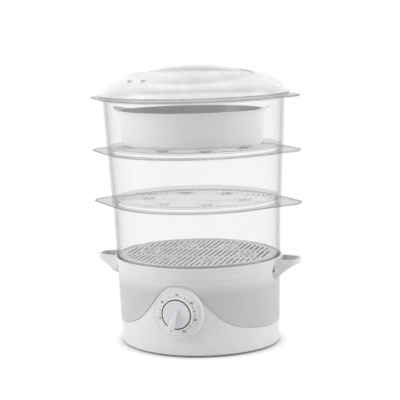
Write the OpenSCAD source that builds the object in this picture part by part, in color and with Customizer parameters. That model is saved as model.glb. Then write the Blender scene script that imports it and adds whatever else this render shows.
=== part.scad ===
// Electric food steamer: a timer base with a water tank, three stacked clear bowls with slotted
// trays, a rice bowl and a domed lid. Millimetres, +Z up, origin on the table under the centre,
// front of the appliance towards -Y.

/* [Plan outline] */
// Width of the base at its foot
body_w = 224; // [216:1:232]
// Depth of the base at its foot
body_d = 192; // [186:1:196]

/* [Base] */
// Height of the base rim above the table
base_h = 123; // [118:1:130]
// How far the rubber feet hold the housing off the table
foot_h = 3; // [2:0.5:5]
// Growth of the outline from the foot to the collar
base_flare = 2.3; // [1:0.1:4]
// Wall of the lower housing and of the wrap panel
shell_t = 2.5; // [2:0.1:3]
// Step of the white apron behind the wrap panel
apron_inset = 0.6; // [0:0.1:1]
// Shadow gap between the apron and the wrap panel
seam_gap = 0.5; // [0.3:0.1:1]
// Height of the white band at the sides, above the table
apron_low = 27; // [22:1:32]
// Height of the top of the bell-shaped apron at the front
apron_peak = 98; // [92:1:100]
// Half width of the bell at half its height
apron_bell = 45.3; // [40:0.1:50]
// Height of the collar band under the rim
collar_h = 18; // [16:1:20]
// Growth of the outline over the collar band
collar_flare = 3.7; // [3:0.1:5]

/* [Water tank] */
// Wall of the water tank
tank_t = 2.2; // [1.8:0.1:2.6]
// Underside of the tank floor above the table
tank_floor_z = 46; // [42:1:50]
// Gap between the housing and the tank wall
tank_gap = 4.5; // [3.5:0.1:6]
// Reach of the pouring ears from the centre
base_ear_reach = 146; // [142:1:150]
// Half width of a pouring ear at its root
base_ear_half = 23; // [20:1:26]
// Depth of the pouring ear at its root, under the rim
base_ear_drop = 27; // [25:1:30]

/* [Bowls] */
// Wall of the clear bowls
bowl_t = 2.2; // [1.8:0.1:2.6]
// Height of the lower bowl above its seat
lower_bowl_h = 79.5; // [70:0.5:90]
// Height of the middle bowl above its seat
middle_bowl_h = 71.8; // [62:0.5:82]
// Height of the upper bowl above its seat
upper_bowl_h = 73.7; // [64:0.5:84]
// Growth of the lower bowl from its foot to its rim
lower_bowl_flare = 1.8; // [1:0.1:3]
// Growth of the middle bowl from its foot to its rim
middle_bowl_flare = 3.5; // [2:0.1:4]
// Growth of the upper bowl from its foot to its rim
upper_bowl_flare = 3.2; // [2:0.1:4]
// Step from the lower bowl's rim out to the middle bowl's foot
middle_step = 1.5; // [0.8:0.1:2]
// Step from the middle bowl's rim out to the upper bowl's foot
upper_step = 0.7; // [0.5:0.1:2]
// Width of the flange round each rim
flange_w = 6.5; // [5:0.1:8]
// Thickness of the flanges and ears
flange_t = 2.4; // [2:0.1:3]
// Depth of the spigot under each bowl
spigot_h = 5; // [4:0.5:6]
// Wall of the spigot
spigot_t = 1.8; // [1.5:0.1:2.2]
// Height of the tray ledge above the bowl's seat
ledge_h = 3.5; // [3:0.1:5]
// Reach of the clear ears from the centre
ear_reach = 151.5; // [148:0.5:156]
// Half width of the clear ears at the tip
ear_tip_half = 22; // [18:1:26]
// Radius of the clear ears' corners
ear_corner_r = 12; // [9:0.5:14]

/* [Trays] */
// Thickness of the bowl trays
tray_t = 2; // [1.6:0.1:2.6]
// Distance from slot to slot
slot_pitch = 7.45; // [7:0.05:9]
// Width of a slot
slot_w = 3; // [2.5:0.1:4]
// Width of the ribs that cross the slots
slot_rib = 5; // [4:0.5:8]
// Plain border round the slots
slot_border = 9; // [7:0.5:12]
// Radius of an egg ring's hole
egg_hole_r = 6; // [5:0.5:7.5]
// Radius of an egg ring at the tray's top
egg_seat_r = 13.5; // [12:0.5:15]
// Depth of the egg rings under the tray
egg_ring_h = 3; // [2:0.5:4]

/* [Rice bowl] */
// Width of the rice bowl at its rim
rice_w = 206; // [196:1:208]
// Depth of the rice bowl at its rim
rice_d = 147; // [136:1:150]
// Height of the rice bowl
rice_h = 49; // [44:1:52]
// Wall of the rice bowl
rice_t = 2; // [1.6:0.1:2.4]
// Draw-in of the rice bowl from rim to bottom
rice_taper = 2.5; // [2:0.5:5]
// Reach of the rice bowl's tabs from the centre
rice_tab_reach = 112.5; // [110:0.5:114]
// How far the rice bowl stands from the middle of its tier, to the left
rice_aside = 4; // [0:0.5:4.5]

/* [Lid] */
// Lift of the lid flange over the upper bowl's rim
lid_lift = 1.5; // [1:0.1:2.5]
// Height of the dome over the lid flange's underside
dome_h = 37; // [34:0.5:39]
// Squareness of the dome's shoulders: 2 is an ellipse
dome_power = 2.3; // [2:0.05:2.6]
// Wall of the lid
lid_t = 2; // [1.6:0.1:2.4]
// Half length of the grip pocket
pocket_half = 92; // [86:1:94]
// Half width of the grip pocket
pocket_wide = 44; // [40:1:48]
// Depth of the pocket's floor under the dome's top
pocket_depth = 20; // [18:0.5:21]
// Radius of the pocket's dished floor
pocket_bend = 380; // [360:10:500]
// Width of the handle bar
handle_w = 20; // [16:1:24]
// Height of the handle bar at its middle
handle_h = 13; // [11:0.5:14]
// Radius of the handle's post
post_r = 6.3; // [5.5:0.1:7]
// Radius of the steam vents
vent_r = 2.4; // [2:0.1:3]

/* [Timer and dial] */
// Height of the knob's axis above the table
dial_z = 62; // [60:0.5:66]
// Radius of the raised boss round the dial
boss_r = 34.5; // [33:0.5:36]
// How far the boss stands out of the front
boss_out = 3.5; // [3:0.1:4.5]
// Radius of the dial plate
dial_r = 29.5; // [28:0.5:31]
// Thickness of the dial plate
dial_t = 1.6; // [1.2:0.1:2]
// Radius of the knob
knob_r = 19.3; // [18:0.1:21]
// Depth of the knob's disc
knob_t = 8; // [7:0.5:9]
// Height of the knob's pointer over its disc
fin_h = 5; // [4:0.5:5.5]
// Angle of the zero mark, clockwise from the top
zero_angle = 201; // [190:1:210]
// Radius of the timer's shaft
shaft_r = 3; // [2.5:0.1:3.5]
// Width and height of the timer's case
timer_w = 54; // [50:1:56]
// Depth of the timer's case
timer_d = 26; // [24:0.5:28]

/* [Heater] */
// Radius of the heater plate
heater_r = 44; // [42:0.5:46]
// Thickness of the heater plate
heater_t = 1.5; // [1.2:0.1:2]
// Radius of the opening in the tank floor
heater_hole_r = 38; // [36:0.5:40]
// Radius of the heating element's ring
element_path_r = 26; // [24:0.5:28]
// Radius of the element's sheath
element_r = 4; // [3.5:0.1:4.5]
// Outer radius of the steam sleeve
sleeve_r = 47; // [46.5:0.1:49]
// Wall of the steam sleeve
sleeve_t = 1.8; // [1.5:0.1:2.2]

/* [Fasteners and feet] */
// Radius of the rubber feet
foot_r = 8; // [7:0.5:10]
// Radius of the cover screws' shank
screw_r = 1.5; // [1.3:0.1:1.8]
// Thickness of the bottom cover
cover_t = 2.5; // [2:0.1:3]
// Radius of the bore in the cord grommet
cord_bore_r = 3.6; // [3:0.1:4]

/* [Hidden] */
$fn = 96;
fit = 0.6;          // loose clearance between parts that lift out
run_gap = 0.05;     // radial clearance of a running shaft
touch = 0.3;        // clearance between curved faces of different bodies
eps = 1;            // overshoot of a cut past a face

// An outline is [side shift, side radius, front shift, front radius]: four arcs that meet smoothly
// where the line between their centres, which rises 3 in 4, cuts the oval.
function outline(w, d) =
    let (u = even((w - d) / 4), r = even(d / 2) - 2 * u) [4 * u, r, 3 * u, r + 5 * u];
// A length to the nearest 64th, so that arcs that meet are cut at the very same points
function even(v) = round(64 * v) / 64;
seam = [0.8, 0.6];
function half_width(o, grow) = o[0] + o[1] + grow;
function half_depth(o, grow) = o[3] + grow - o[2];
// Half depth of the outline at a distance x from the middle
function depth_at(o, grow, x) =
    abs(x) < o[0] + (o[1] + grow) * seam[0]
        ? sqrt(pow(o[3] + grow, 2) - x * x) - o[2]
        : sqrt(max(0, pow(o[1] + grow, 2) - pow(abs(x) - o[0], 2)));

body = outline(body_w, body_d);

// Base levels
cover_z = foot_h + 1;
cover_top = cover_z + cover_t;
collar_z = base_h - collar_h;
seat_z = base_h - 4;                 // the lower bowl stands on this ledge
drip_z = base_h - 13;                // the drip tray stands on this ledge
tank_in_z = tank_floor_z + 2.5;
tank_grow = -shell_t - tank_gap;     // outer face of the tank wall
basin_grow = tank_grow - tank_t;     // inner face of the tank wall
rim_grow = base_flare + collar_flare;
foot_grow = 3.2;                     // outer face of the lower bowl's foot
rim_in_grow = foot_grow + fit;
neck_grow = 0.5;                     // inner face of the tank between the two ledges
drip_grow = neck_grow - 0.8;

// Bowl sizes: [seat height, height, foot growth, rim growth, spigot growth]
lower = [seat_z, lower_bowl_h, foot_grow, foot_grow + lower_bowl_flare, neck_grow - fit];
middle = next_bowl(lower, middle_bowl_h, middle_bowl_flare, middle_step);
upper = next_bowl(middle, upper_bowl_h, upper_bowl_flare, upper_step);
function next_bowl(b, h, flare, out) =
    [b[0] + b[1], h, b[3] + out, b[3] + out + flare, b[3] - bowl_t - fit];
function bowl_top(b) = b[0] + b[1];
function tray_z(b) = b[0] + ledge_h;
function tray_grow(b) = b[2] - bowl_t - fit;

// Lid levels
lid_z = bowl_top(upper) + lid_lift;
dome_grow = upper[3] + 0.6;
lid_flange_grow = upper[3] + flange_w + 0.6;
dome_a = half_width(body, dome_grow);
dome_top = lid_z + dome_h;
pocket_z = dome_top - pocket_depth;
handle_top = dome_top + 2.5;
handle_z = handle_top - handle_h;
handle_half = pocket_half - 10;
pocket_draft = 6;
vent_places = [[-67, -67], [-44, -79]];

// Front levels, all as distances from the centre towards -Y
function shell_grow(z) = base_flare * (z - foot_h) / (collar_z - foot_h);
front_y = half_depth(body, shell_grow(dial_z) - apron_inset);
boss_y = front_y + boss_out;
plate_y = 87;
case_y = plate_y - 1.5;
bay_y = case_y - timer_d - 3;
bay_half = timer_w / 2 + 13;
bay_top = dial_z + timer_w / 2 + 8;
knob_y = boss_y + dial_t + 0.6;
knob_face = knob_y + knob_t;

// ---------------------------------------------------------------- outline helpers
far = 250;           // reach of the wedges that cut the arcs apart

// The wedge of the front arc, its point at the arc's centre
module front_wedge(o) {
    polygon([
        [0, o[2]], [far * seam[0], o[2] - far * seam[1]], [-far * seam[0], o[2] - far * seam[1]]]);
}

module side_wedge(o) {
    polygon([
        [o[0], 0], [o[0] + far * seam[0], -far * seam[1]], [o[0] + far * seam[0], far * seam[1]]]);
}

module oval(o, grow = 0) {
    for (s = [0, 180]) rotate(s) {
        translate([o[0], 0]) circle(r = o[1] + grow);
        intersection() {
            translate([0, o[2]]) circle(r = o[3] + grow);
            front_wedge(o);
        }
    }
}

module oval_slab(o, grow, z0, z1) {
    translate([0, 0, z0]) linear_extrude(z1 - z0) oval(o, grow);
}

// Sweeps a 2D profile round the outline: its x is the growth from the outline, its y is height
module oval_sweep(o) {
    tall = 500;
    for (s = [0, 180]) rotate(s) {
        intersection() {
            translate([o[0], 0, 0]) rotate_extrude() translate([o[1], 0]) children();
            linear_extrude(tall) side_wedge(o);
        }
        intersection() {
            translate([0, o[2], 0]) rotate_extrude() translate([o[3], 0]) children();
            linear_extrude(tall) front_wedge(o);
        }
    }
}

// Points of an arc about c, from angle a0 to a1
function arc(c, r, a0, a1, steps = 8) =
    [for (i = [0:steps]) let (a = a0 + (a1 - a0) * i / steps) c + r * [cos(a), sin(a)]];

// Outline of a tab that grows out of x0, where its half width is root, to a rounded tip at reach;
// its corners have radius r and its tip is 2 * half wide in all
function tab_outline(x0, root, reach, half, r) =
    let (c = [reach - r, half - r], to_c = c - [x0, root],
         slope = atan2(-to_c[1], to_c[0]) - asin(r / norm(to_c)),
         upper = concat([[x0, root]], arc(c, r, 90 - slope, 0)))
    concat(upper, [for (i = [len(upper) - 1:-1:0]) [upper[i][0], -upper[i][1]]]);

module both_sides() {
    for (s = [0, 180]) rotate(s) children();
}

// Points towards the front (-Y) a shape drawn along +Z, with the dial's axis as its origin
module at_dial(y) {
    translate([0, -y, dial_z]) rotate([-90, 0, 0]) children();
}

// ---------------------------------------------------------------- base shells
function apron_edge(x) =
    apron_low + (apron_peak - apron_low) / (1 + pow(abs(x) / apron_bell, 3));

// Region under the apron's edge; up moves the edge
module apron_region(up = 0) {
    w = body_w / 2 + 10;
    steps = 60;
    side_z = apron_edge(half_width(body, 0)) + up;
    translate([0, 0.01, 0]) rotate([90, 0, 0]) linear_extrude(body_d) polygon(concat(
        [for (i = [0:steps]) let (x = -w + 2 * w * i / steps) [x, max(side_z, apron_edge(x) + up)]],
        [[w, -eps], [-w, -eps]]));
    translate([-w, 0, -eps]) cube([2 * w, body_d, side_z + eps]);
}

module shell_wall(inset, z0, z1) {
    oval_sweep(body) polygon([
        [shell_grow(z0) - inset, z0], [shell_grow(z1) - inset, z1],
        [shell_grow(z1) - inset - shell_t, z1], [shell_grow(z0) - inset - shell_t, z0]
    ]);
}

boss_flank = 1;
post_x = half_width(body, 0) - 38;   // posts for the cover's screws
post_y = half_depth(body, 0) - 46;
screw_post_r = 4.5;
screw_post_h = 16;
post_rib_t = 2.4;
// from a cover screw's post to the middle of the housing's wall
rib_end = body[1] - apron_inset - shell_t / 2 - norm([post_x - body[0], post_y]);
module at_cover_screws() {
    for (x = [-1, 1], y = [-1, 1]) translate([x * post_x, y * post_y, 0]) children();
}

timer_screw_x = timer_w / 2 + 5;
module at_timer_screws(y) {
    for (x = [-1, 1]) translate([x * timer_screw_x, -y, dial_z]) rotate([-90, 0, 0]) children();
}

grommet_z = 17;
grommet_r = 7;

module lower_housing() {
    color("whitesmoke") difference() {
        union() {
            intersection() {
                shell_wall(apron_inset, foot_h, apron_peak + 2);
                apron_region();
            }
            // flat boss behind and round the dial, with a sloping flank
            intersection() {
                at_dial(boss_y) union() {
                    cylinder(r1 = boss_r, r2 = boss_r + boss_flank, h = boss_out + 2);
                    cylinder(r = boss_r - 3, h = boss_out + 3);
                }
                difference() {
                    translate([-body_w / 2, -body_d, 0]) cube([body_w, body_d, base_h]);
                    oval_slab(body, shell_grow(dial_z) - apron_inset - shell_t, 0, base_h);
                }
            }
            // posts that carry the timer
            at_timer_screws(front_y - 3) cylinder(r = 3.5, h = front_y - 3 - plate_y);
            // posts for the cover screws, each with a rib to the wall
            at_cover_screws() translate([0, 0, cover_top]) cylinder(r = screw_post_r, h = screw_post_h);
            for (x = [-1, 1], y = [-1, 1])
                translate([x * post_x, y * post_y, cover_top])
                    rotate(atan2(y * post_y, x * (post_x - body[0])))
                        translate([screw_r + 1.5, -post_rib_t / 2, 0])
                            cube([rib_end - screw_r - 1.5, post_rib_t, screw_post_h - 2]);
        }
        at_dial(boss_y + eps) cylinder(r = shaft_r + 2, h = 20);
        at_timer_screws(front_y - 8) cylinder(r = screw_r, h = 20);
        at_cover_screws() translate([0, 0, cover_top - eps]) cylinder(r = screw_r, h = screw_post_h - 3);
        translate([0, body_d / 2 - 10, grommet_z]) rotate([-90, 0, 0]) cylinder(r = grommet_r, h = 20);
    }
}

ear_top = base_h - 2;
ear_bottom = base_h - base_ear_drop - 2;
ear_tip_r = 13;
// The underside rises from the knee, by the panel, to the lip near the tip
ear_knee = [half_width(body, 4), ear_bottom];
ear_lip = [base_ear_reach - 7, base_h - 10];
ear_tip_z = base_h - 6.5;
ear_tip_wide = 16;                   // half width at the tip
// Seen end on, the ear is as round below as a ship's keel
ear_keel_r = base_ear_half + 1.5;
ear_keel_z = ear_top - 5;
function ear_underside(shift) =
    let (bend = ear_knee + [0.4 * (ear_lip[0] - ear_knee[0]), 0.6 * (ear_lip[1] - ear_knee[1])])
    [for (t = [0:0.125:1]) pow(1 - t, 2) * ear_knee + 2 * t * (1 - t) * bend + t * t * ear_lip + shift];

// A shape drawn in plan, cut to a side view that is drawn in X and Z
module plan_and_side() {
    intersection() {
        linear_extrude(2 * base_h) children(0);
        rotate([90, 0, 0]) translate([0, 0, -body_d / 2]) linear_extrude(body_d) children(1);
    }
}

// Everything inside the ear's round keel, with its sides upright above the keel's centre
module ear_keel(grow) {
    r = ear_keel_r + grow;
    rotate([90, 0, 90]) translate([0, ear_keel_z, -body_w]) linear_extrude(2 * body_w) {
        circle(r = r);
        translate([-r, 0]) square([2 * r, base_h]);
    }
}

module base_ear_block(grow) {
    x0 = half_width(body, basin_grow) + 0.5;
    intersection() {
        plan_and_side() {
            polygon(tab_outline(
                x0, base_ear_half + grow, base_ear_reach + grow, ear_tip_wide + grow, ear_tip_r + grow));
            polygon(concat(
                [[x0 - 1, ear_bottom - grow]], ear_underside([0, -grow]), [
                [base_ear_reach + 5, ear_tip_z - grow], [base_ear_reach + 5, ear_top + grow],
                [x0 - 1, ear_top + grow]]));
        }
        ear_keel(grow);
    }
}

module base_ear_pocket() {
    t = tank_t + 0.3;
    x_in = half_width(body, rim_grow) + 0.4;
    x_basin = half_width(body, basin_grow) - 3;
    channel = [ear_bottom + 3 * t, drip_z - 2 * t];
    intersection() {
        plan_and_side() {
            polygon(tab_outline(
                x_in, base_ear_half - 5, base_ear_reach - t, ear_tip_wide - t, ear_tip_r - t));
            polygon(concat(
                [[x_in - 5, ear_bottom + t]], ear_underside([-t / 2, 0.75 * t]), [
                [base_ear_reach + 5, ear_tip_z + t], [base_ear_reach + 5, base_h + 9],
                [x_in - 5, base_h + 9]]));
        }
        ear_keel(-t);
    }
    // channel under the collar into the basin
    translate([x_basin, -ear_tip_wide + 2, channel[0]])
        cube([x_in + 1 - x_basin, 2 * ear_tip_wide - 4, channel[1] - channel[0]]);
}

module wrap_panel() {
    color("lightgray") difference() {
        shell_wall(0, foot_h, collar_z);
        apron_region(seam_gap);
        both_sides() base_ear_block(0.3);
        at_dial(boss_y + eps) cylinder(r = boss_r + boss_flank + seam_gap, h = 30);
        translate([-body_w, -body_d, -eps]) cube([2 * body_w, 2 * body_d, apron_low + eps]);
    }
}

module bay_box(grow) {
    translate([-bay_half - grow, -body_d, tank_floor_z - 20])
        cube([2 * (bay_half + grow), body_d - bay_y + grow, bay_top + grow - tank_floor_z + 20]);
}

module water_tank() {
    skirt_in = shell_grow(collar_z) - shell_t - fit;
    color("white") difference() {
        union() {
            difference() {
                union() {
                    oval_sweep(body) polygon([
                        [tank_grow, tank_floor_z], [tank_grow, drip_z - tank_t],
                        [skirt_in, drip_z - tank_t], [skirt_in, collar_z],
                        [base_flare, collar_z], [rim_grow, base_h - 1.2], [rim_grow - 0.8, base_h],
                        [rim_in_grow, base_h], [rim_in_grow, seat_z], [neck_grow, seat_z],
                        [neck_grow, drip_z], [basin_grow, drip_z], [basin_grow, tank_floor_z]
                    ]);
                    oval_slab(body, basin_grow + tank_t / 2, tank_floor_z, tank_in_z);
                }
                bay_box(tank_t);
            }
            intersection() {
                difference() {
                    bay_box(tank_t);
                    bay_box(0);
                }
                oval_slab(body, basin_grow + tank_t / 2, tank_floor_z, bay_top + 2 * tank_t);
            }
            both_sides() difference() {
                base_ear_block(0);
                oval_slab(body, rim_grow - 1.5, collar_z - 0.5, base_h + eps);
            }
        }
        both_sides() base_ear_pocket();
        translate([0, 0, tank_floor_z - eps]) cylinder(r = heater_hole_r, h = 10);
        at_heater_screws() translate([0, 0, tank_floor_z - eps]) cylinder(r = screw_r, h = 3);
    }
}

cover_head_r = 3;
cover_head_h = 1.6;
cover_head_sink = 1.2;
foot_neck_r = 2.4;
air_pitch = 9;
air_w = 4;
air_l = 28;
module bottom_cover() {
    color("dimgray") difference() {
        oval_slab(body, -apron_inset - shell_t - 0.3, cover_z, cover_top);
        at_cover_screws() translate([0, 0, cover_z - eps]) cylinder(r = screw_r + 0.2, h = cover_t + 2 * eps);
        at_cover_screws() translate([0, 0, cover_z - eps])
            cylinder(r = cover_head_r + 0.2, h = cover_head_sink + eps);
        at_feet() translate([0, 0, cover_z - eps]) cylinder(r = foot_neck_r + 0.1, h = cover_t + 2 * eps);
        // air slots under the timer
        for (i = [-4:4]) translate([i * air_pitch - air_w / 2, -front_y + 35, cover_z - eps])
            cube([air_w, air_l, cover_t + 2 * eps]);
    }
}

foot_x = half_width(body, 0) - 46;
foot_y = half_depth(body, 0) - 66;
foot_barb_r = 3.2;
foot_barb_h = 2.4;
module at_feet() {
    for (x = [-1, 1], y = [-1, 1]) translate([x * foot_x, y * foot_y, 0]) children();
}

module feet() {
    color("gray") at_feet() {
        cylinder(r = foot_r, h = cover_z);
        cylinder(r = foot_neck_r, h = cover_top + foot_barb_h);
        translate([0, 0, cover_top]) cylinder(r1 = foot_barb_r, r2 = foot_neck_r - 0.4, h = foot_barb_h);
    }
}

module cover_screws() {
    color("silver") at_cover_screws() translate([0, 0, cover_z + cover_head_sink - cover_head_h]) {
        cylinder(r = cover_head_r, h = cover_head_h);
        cylinder(r = screw_r - 0.02, h = screw_post_h - 5);
    }
}

// ---------------------------------------------------------------- dial and timer
module dial_plate() {
    color("gainsboro") difference() {
        at_dial(boss_y + dial_t) cylinder(r = dial_r, h = dial_t);
        at_dial(boss_y + dial_t + eps) cylinder(r = shaft_r + 2, h = dial_t + 2 * eps);
    }
}

module timer_plate() {
    color("silver") difference() {
        translate([-timer_screw_x - 5, -plate_y, dial_z - timer_w / 2])
            cube([2 * timer_screw_x + 10, 1.5, timer_w]);
        at_timer_screws(plate_y + eps) cylinder(r = screw_r + 0.2, h = 5);
        at_dial(plate_y + eps) cylinder(r = 6, h = 5);
    }
}

module timer_case() {
    t = 2;
    color("ivory") difference() {
        translate([-timer_w / 2, -case_y, dial_z - timer_w / 2]) cube([timer_w, timer_d, timer_w]);
        translate([-timer_w / 2 + t, -case_y - eps, dial_z - timer_w / 2 + t])
            cube([timer_w - 2 * t, timer_d - t + eps, timer_w - 2 * t]);
    }
}

bush_r = 6;
module timer_bush() {
    color("goldenrod") difference() {
        union() {
            at_dial(plate_y + 3) cylinder(r = bush_r - 0.02, h = 3 + 1.5);
            at_dial(plate_y + 3) cylinder(r = bush_r + 2, h = 3);
        }
        at_dial(plate_y + 10) cylinder(r = shaft_r + run_gap, h = 20);
    }
}

module timer_bell() {
    bell_y = case_y - timer_d;
    color("silver") {
        at_dial(bell_y) cylinder(r = 1.6, h = 2.4);
        at_dial(bell_y - 0.6) difference() {
            cylinder(r1 = 15, r2 = 11, h = 1.8);
            translate([0, 0, -eps]) cylinder(r1 = 14.6, r2 = 10, h = 1.2 + eps);
        }
    }
}

contact_x = timer_w / 2;
module timer_contacts() {
    color("peru") for (z = [-8, 8]) {
        translate([contact_x, -case_y + 6, dial_z + z - 3]) cube([8, 0.8, 6]);
        translate([contact_x, -case_y + 6, dial_z + z - 4]) cube([1.5, 10, 8]);
    }
}

module timer_screws() {
    color("silver") at_timer_screws(front_y - 9) translate([0, 0, 0])
        cylinder(r = screw_r - 0.02, h = front_y - 9 - plate_y + 1.5);
    color("silver") at_timer_screws(plate_y - 1.5) cylinder(r = 3, h = 1.8);
}

// ---------------------------------------------------------------- knob body
module knob() {
    color("white") rotate_to_zero() {
        difference() {
            union() {
                at_dial(knob_face) cylinder(r = knob_r, h = knob_t);
                fin();
            }
            at_dial(knob_y + 5) cylinder(r = shaft_r, h = 20);
            at_dial(knob_y + knob_t - 2.5) difference() {
                cylinder(r = knob_r - 2, h = 20);
                translate([0, 0, -eps]) cylinder(r = shaft_r + 2.5, h = 30);
            }
        }
    }
}

// Turns what follows so that its upward pointer shows the zero mark
module rotate_to_zero() {
    translate([0, 0, dial_z]) rotate([0, zero_angle, 0]) translate([0, 0, -dial_z]) children();
}

// The pointer: a drop that widens from the middle and runs out past the edge of the disc
module fin() {
    tip = knob_r + 3.2;
    at_dial(knob_face + fin_h) linear_extrude(fin_h + 1) rotate(-90)
        polygon(concat(
            tab_outline(-7, 1.2, tip, 4.4, 4.3), arc([-7, 0], 1.2, 270, 90)));
}

module timer_shaft() {
    color("goldenrod") at_dial(knob_y + 4.9) cylinder(r = shaft_r, h = knob_y + 4.9 - case_y + timer_d - 6);
}

module timer_cam() {
    color("white") difference() {
        at_dial(case_y - 4) cylinder(r = 14, h = 4);
        at_dial(case_y - 4 + eps) cylinder(r = shaft_r + 0.02, h = 8);
        rotate_to_zero() translate([-3, -case_y - 1, dial_z + 11]) cube([6, 12, 6]);
    }
}

module spring_drum() {
    color("silver") difference() {
        at_dial(case_y - 9) cylinder(r = 18, h = 8);
        at_dial(case_y - 9 + eps) cylinder(r = shaft_r + 0.02, h = 12);
    }
}

// ---------------------------------------------------------------- heater
gasket_t = 1.2;
plate_z = tank_in_z + gasket_t;
casting_z = tank_floor_z - 6;
element_z = casting_z - 2;
element_gap = 60;                    // angle between the element's two ends
cold_end_r = element_r + 0.6;
cold_end_z = 24;
element_pin_r = 1.4;
module at_heater_screws() {
    for (a = [30:120:270]) rotate(a) translate([heater_hole_r + 5, 0, 0]) children();
}

module heater_plate() {
    color("lightsteelblue") translate([0, 0, plate_z]) {
        cylinder(r = heater_r, h = heater_t);
        cylinder(r1 = heater_r - 12, r2 = heater_r - 14, h = heater_t + 2);
    }
}

module heater_gasket() {
    color("tomato") difference() {
        union() {
            translate([0, 0, tank_in_z]) cylinder(r = heater_r - 0.5, h = gasket_t);
            translate([0, 0, tank_floor_z]) cylinder(r = heater_hole_r, h = 2.5 + gasket_t);
        }
        translate([0, 0, tank_floor_z - eps]) cylinder(r = heater_hole_r - 1.8, h = 10);
    }
}

module heater_casting() {
    color("silver") difference() {
        translate([0, 0, casting_z]) cylinder(r = heater_hole_r - 1.8, h = plate_z - casting_z);
        translate([0, 0, element_z]) rotate_extrude() translate([element_path_r, 0])
            circle(r = element_r + 0.02);
    }
}

module heater_element() {
    color("dimgray") {
        translate([0, 0, element_z]) rotate(90 + element_gap / 2) rotate_extrude(angle = 360 - element_gap)
            translate([element_path_r, 0]) circle(r = element_r);
        // cold ends that lead down to the terminals
        for (a = [-1, 1]) rotate(90 + a * element_gap / 2) translate([element_path_r, 0, 0]) {
            translate([0, 0, cold_end_z]) cylinder(r = cold_end_r, h = casting_z - touch - cold_end_z);
            translate([0, 0, cold_end_z - 8]) cylinder(r = element_pin_r, h = 9);
        }
    }
}

module heater_clamp() {
    color("silver") translate([0, 0, tank_floor_z - 1.8]) difference() {
        cylinder(r = heater_hole_r + 9, h = 1.8);
        translate([0, 0, -eps]) cylinder(r = heater_hole_r - 1.75, h = 5);
        at_heater_screws() translate([0, 0, -eps]) cylinder(r = screw_r + 0.2, h = 5);
    }
}

module heater_screws() {
    color("silver") at_heater_screws() {
        translate([0, 0, tank_floor_z - 3.2]) cylinder(r = 2.8, h = 1.4);
        translate([0, 0, tank_floor_z - 3.2]) cylinder(r = screw_r - 0.02, h = 5);
    }
}

module thermostat() {
    color("silver") {
        translate([0, 0, casting_z - 5]) cylinder(r = 9, h = 5);
        translate([0, 0, casting_z - 12]) cylinder(r = 7.5, h = 7);
        for (x = [-1, 1]) translate([x * 4 - 1.5, -0.4, casting_z - 20]) cube([3, 0.8, 9]);
    }
}

module thermal_fuse() {
    color("white") translate([-11, -15, casting_z - 2.5]) rotate([0, 90, 0]) {
        cylinder(r = 2.2, h = 22);
        translate([0, 0, -3]) cylinder(r = 0.6, h = 28);
    }
}

module fuse_clip() {
    color("silver") difference() {
        translate([-3, -18.5, casting_z - 5.7]) cube([6, 7, 5.7]);
        translate([-11, -15, casting_z - 2.5]) rotate([0, 90, 0]) cylinder(r = 2.22, h = 22);
    }
}

// ---------------------------------------------------------------- wiring
block_y = half_depth(body, 0) - 30;
module at_block_screws() {
    for (x = [-1:1]) translate([x * 9, block_y, 0]) children();
}

module terminal_block() {
    color("ivory") difference() {
        translate([-14, block_y - 8, cover_top]) cube([28, 16, 12]);
        at_block_screws() translate([0, 0, cover_top + 5]) cylinder(r = 2, h = 10);
        for (x = [-1:1]) translate([x * 9, block_y - 10, cover_top + 4]) rotate([-90, 0, 0])
            cylinder(r = 1.6, h = 20);
    }
}

module terminal_screws() {
    color("goldenrod") at_block_screws() translate([0, 0, cover_top + 6]) cylinder(r = 1.98, h = 4);
}

module cord_grommet() {
    back = half_depth(body, shell_grow(grommet_z) - apron_inset);
    color("darkgray") translate([0, 0, grommet_z]) rotate([-90, 0, 0]) difference() {
        union() {
            translate([0, 0, back - 6]) cylinder(r = grommet_r - run_gap, h = 8);
            translate([0, 0, back - shell_t - 4]) cylinder(r = grommet_r + 2, h = 2.9);
            translate([0, 0, back + touch]) cylinder(r1 = grommet_r + 2, r2 = grommet_r - 1, h = 9);
        }
        translate([0, 0, back - 20]) cylinder(r = cord_bore_r, h = 60);
    }
}

// ---------------------------------------------------------------- lift-out parts in the tank
module steam_sleeve() {
    skirt_h = 12;                        // straight part, below the cone
    taper = 8;
    cone_h = drip_z - 8 - tank_in_z - skirt_h;
    notch_w = 10;
    bore_r = sleeve_r - sleeve_t;
    color("whitesmoke") difference() {
        union() {
            translate([0, 0, tank_in_z + touch]) cylinder(r = sleeve_r, h = skirt_h);
            translate([0, 0, tank_in_z + skirt_h]) cylinder(r1 = sleeve_r, r2 = sleeve_r - taper, h = cone_h);
        }
        translate([0, 0, tank_in_z - eps]) cylinder(r = bore_r, h = skirt_h + 2 * eps);
        translate([0, 0, tank_in_z + skirt_h - 0.01])
            cylinder(r1 = bore_r, r2 = bore_r - taper, h = cone_h + 0.02);
        for (a = [0:60:300]) rotate(a) translate([sleeve_r - 6, -notch_w / 2, tank_in_z - eps])
            cube([12, notch_w, 6]);
    }
}

module drip_tray() {
    dish = -18;
    t = 1.8;
    z = drip_z + touch;
    chimney = 20;
    color("white") difference() {
        union() {
            oval_slab(body, drip_grow, z, z + t);
            oval_slab(body, dish, z - 6, z + t);
            translate([0, 0, z - 6]) cylinder(r = chimney + t, h = 10);
        }
        difference() {
            oval_slab(body, dish - t, z - 6 + t, z + 20);
            cylinder(r = chimney + t, h = z + 4);
        }
        cylinder(r = chimney, h = 400);
        for (a = [0:60:300]) rotate(a) translate([42, 0, z - 10]) cylinder(r = 4, h = 30);
    }
}

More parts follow.
